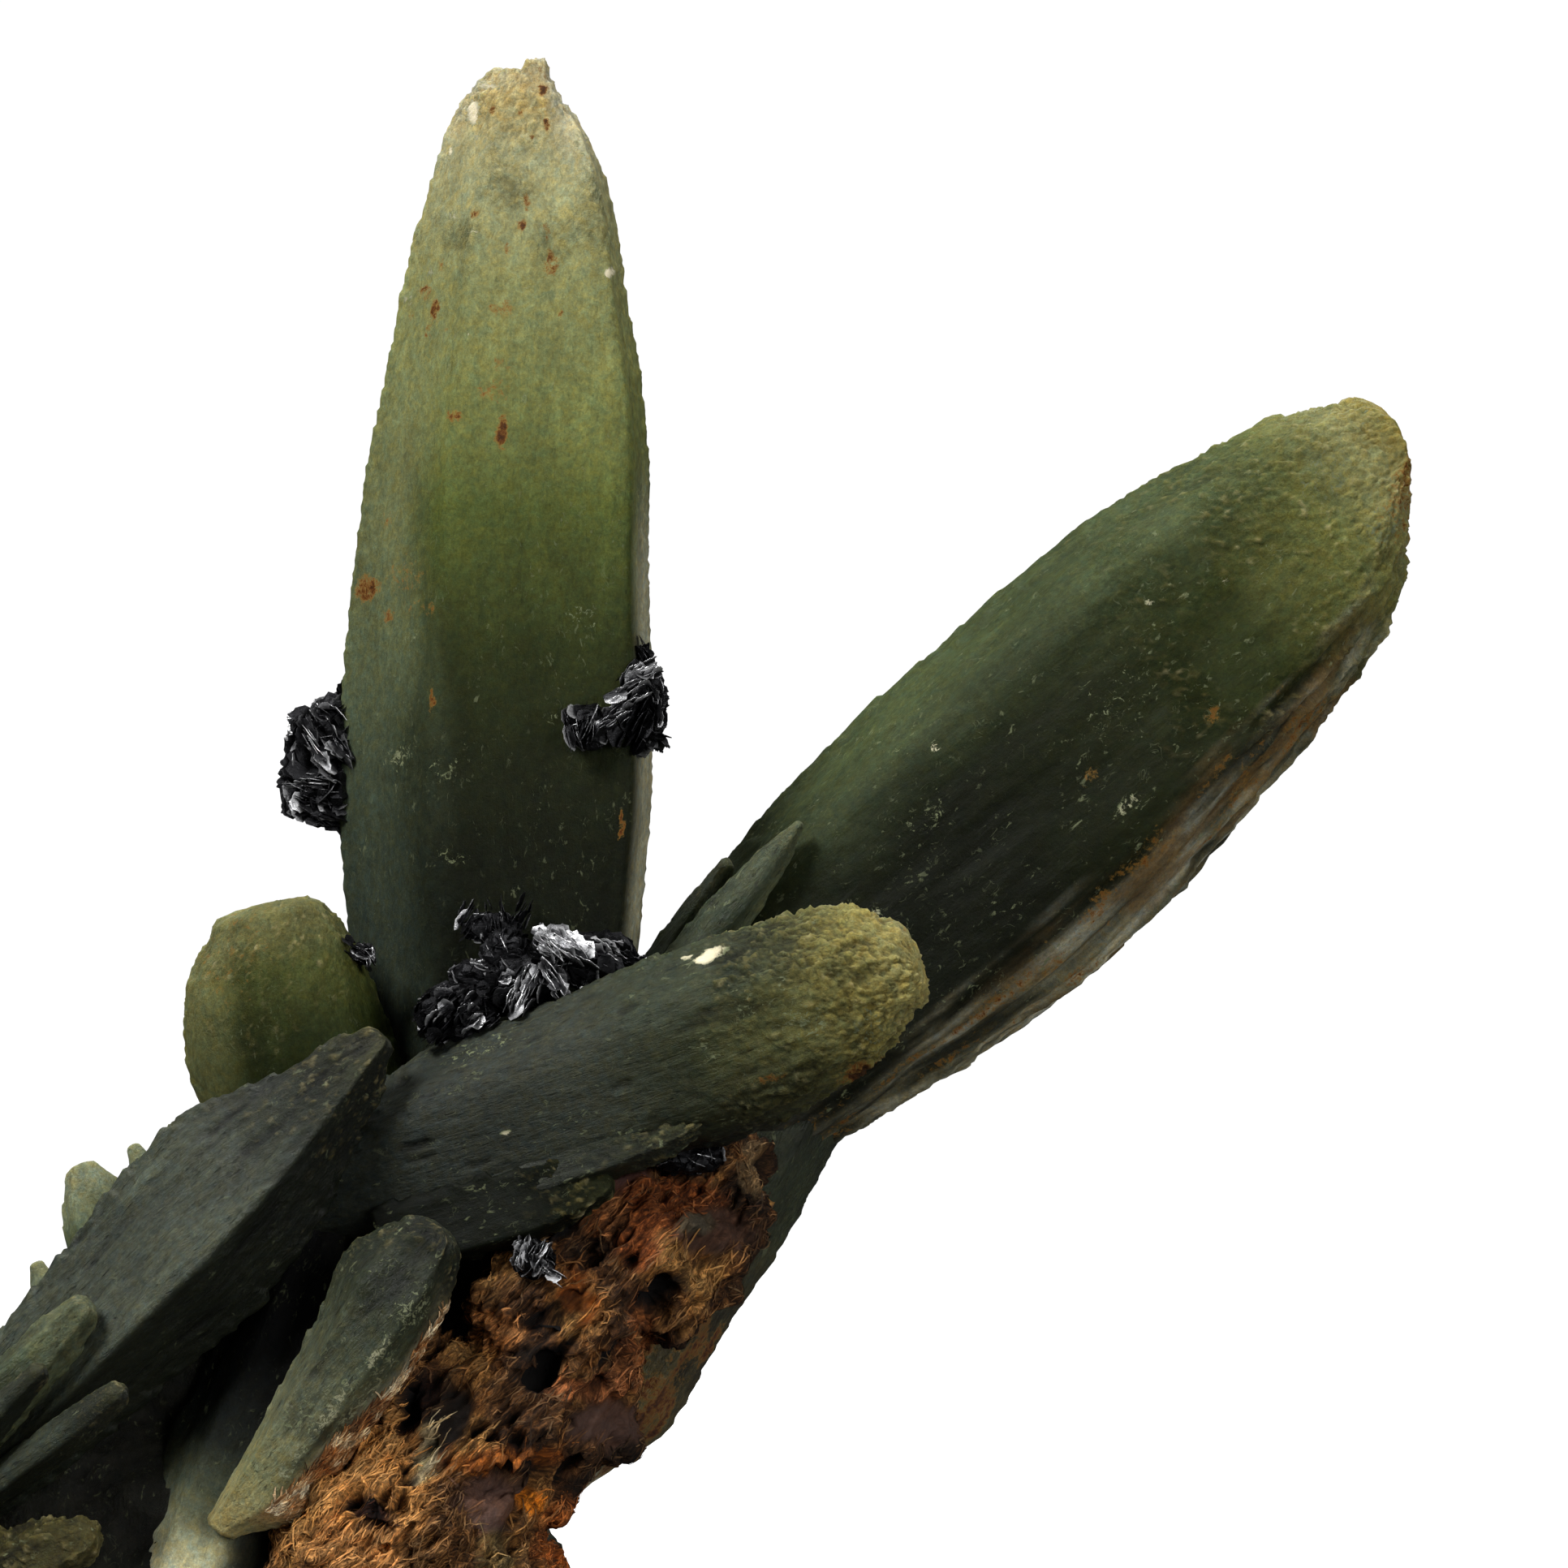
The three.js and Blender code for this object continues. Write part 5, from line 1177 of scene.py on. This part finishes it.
rose("hematite_rose_front", [
    ((6.5, -8.4, 46), (3.2, 1.9, 1.9)), ((2.6, -8.6, 44.6), (2.7, 1.9, 2)),
    ((-1.4, -9, 42.8), (2.7, 1.8, 1.9)), ((1.6, -8, 46.6), (1.8, 1, 1.4)),
    ((-0.4, -8.2, 45.2), (1.6, 1, 1)),
], [
    ((3.9, -10.4, 47.4), -52, 1.5, 0.9, 1.6, 24, (0.5, 1), 30, (-0.1, -0.8, 0.6)),
    ((5.6, -10.8, 47.3), -42, 1.8, 0.9, 1.6, 26, (0.5, 1), 30, (0, -0.8, 0.6)),
    ((7.4, -10.6, 46.9), -30, 1.8, 0.9, 1.6, 24, (0.2, 0.95), 30, (0.1, -0.8, 0.6)),
    ((9.2, -10, 46.4), -22, 1.5, 0.8, 1.5, 18, (0.1, 0.75), 30, (0.4, -0.8, 0.4)),
    ((2.8, -11, 44.6), 68, 1.7, 0.8, 1.6, 22, (0.35, 1), 30, (0, -0.9, 0.4)),
    ((4.6, -10.9, 45), -60, 1.4, 0.8, 1.5, 18, (0.3, 1), 35, (0.1, -0.9, 0.3)),
    ((1, -10.8, 44.8), 25, 1.2, 0.8, 1.5, 16, (0.05, 0.6), 40, (0, -0.9, 0.4)),
    ((-0.8, -11.2, 43.6), 50, 1.2, 0.8, 1.5, 16, (0.05, 0.7), 35, (0, -0.9, 0.4)),
    ((-2.7, -11.2, 43.6), 42, 1.4, 0.9, 1.5, 20, (0.05, 0.85), 30, (-0.2, -0.9, 0.3)),
    ((-2.6, -11.2, 42), 44, 1.4, 0.8, 1.5, 10, (0.02, 0.2), 25, (-0.1, -0.9, 0)),
    ((0, -11.2, 42.4), 35, 1.1, 0.6, 1.4, 10, (0.1, 0.95), 30, (0, -0.9, 0)),
], 203)
rose("hematite_tuft", [((0.6, -6.8, 48), (1.9, 0.3, 1))], [
    ((-0.9, -7.1, 48.4), 60, 1.3, 0.8, 0.7, 12, (0.05, 0.7), 30, (0, -1, 0.2)),
    ((0.8, -7.2, 48.8), 100, 1.3, 0.8, 0.7, 12, (0.05, 0.75), 30, (0, -1, 0.2)),
    ((2.4, -7.1, 48.8), 65, 1.2, 0.6, 0.7, 10, (0.05, 0.6), 30, (0, -1, 0.2)),
], 204)
rose("hematite_flake", [((-7.3, -5.4, 46.4), (0.8, 1, 0.7))], [
    ((-7.6, -6.3, 46.8), -40, 1, 0.6, 0.9, 12, (0.05, 0.5), 30, (0, -1, 0.3)),
    ((-6.8, -6.3, 46), -75, 0.7, 0.5, 0.9, 8, (0.1, 0.9), 30, (0.2, -1, 0.1)),
], 205)
rose("hematite_rose_low", [((3.5, -13.7, 28.4), (1.4, 1, 1.2))], [
    ((2.6, -14.8, 29), 85, 1.1, 0.6, 1, 14, (0.4, 1), 30, (-0.2, -1, 0.2)),
    ((3.8, -15, 28.6), 60, 1.1, 0.7, 1, 14, (0.3, 0.95), 35, (0, -1, 0.2)),
    ((4.4, -14.8, 27.8), -35, 1.1, 0.6, 1, 12, (0.3, 0.9), 35, (0.2, -1, 0)),
], 206)
rose("hematite_plate", [((12.6, -10.2, 34.3), (2.2, 1.2, 1.1))], [
    ((11.8, -11.2, 34.6), 20, 1.3, 0.6, 1, 10, (0.02, 0.3), 30, (0, -1, -0.1)),
    ((13.4, -11.2, 34.6), 35, 1.3, 0.6, 1, 10, (0.02, 0.25), 30, (0.1, -1, -0.1)),
], 207)

# Floor and backdrop: one pale sweep, which glows far from the part so that it stays white there
turns = [k * math.pi / 16 for k in range(1, 9)]
sweep = [(-1.2, 0), (0.6, 0)]
sweep += [(0.6 + 0.4 * math.sin(turn), 0.4 - 0.4 * math.cos(turn)) for turn in turns]
sweep += [(1.0, 1.6)]
floor_mesh = bpy.data.meshes.new("floor")
floor_mesh.from_pydata([(x, y, z) for y, z in sweep for x in (-1.8, 1.8)], [],
                       [(a, a + 1, a + 3, a + 2) for a in range(0, 2 * len(sweep) - 2, 2)])
for polygon in floor_mesh.polygons:
    polygon.use_smooth = True
floor = add("floor", floor_mesh)
plain = Shader("floor", 0.9)
position = plain.node("NewGeometry", "Position", {})
distance = plain.node("VectorMath", "Value", {0: position}, operation="LENGTH")
far = plain.ramp(distance, (0.16, 0), (0.45, 1))
floor_mesh.materials.append(plain.surface(
    Base_Color=plain.mix(far, 0.93, 0.0), Emission_Strength=far, Emission_Color=1))
plain.material.cycles.emission_sampling = "NONE"
floor.visible_diffuse = False
floor.visible_glossy = False
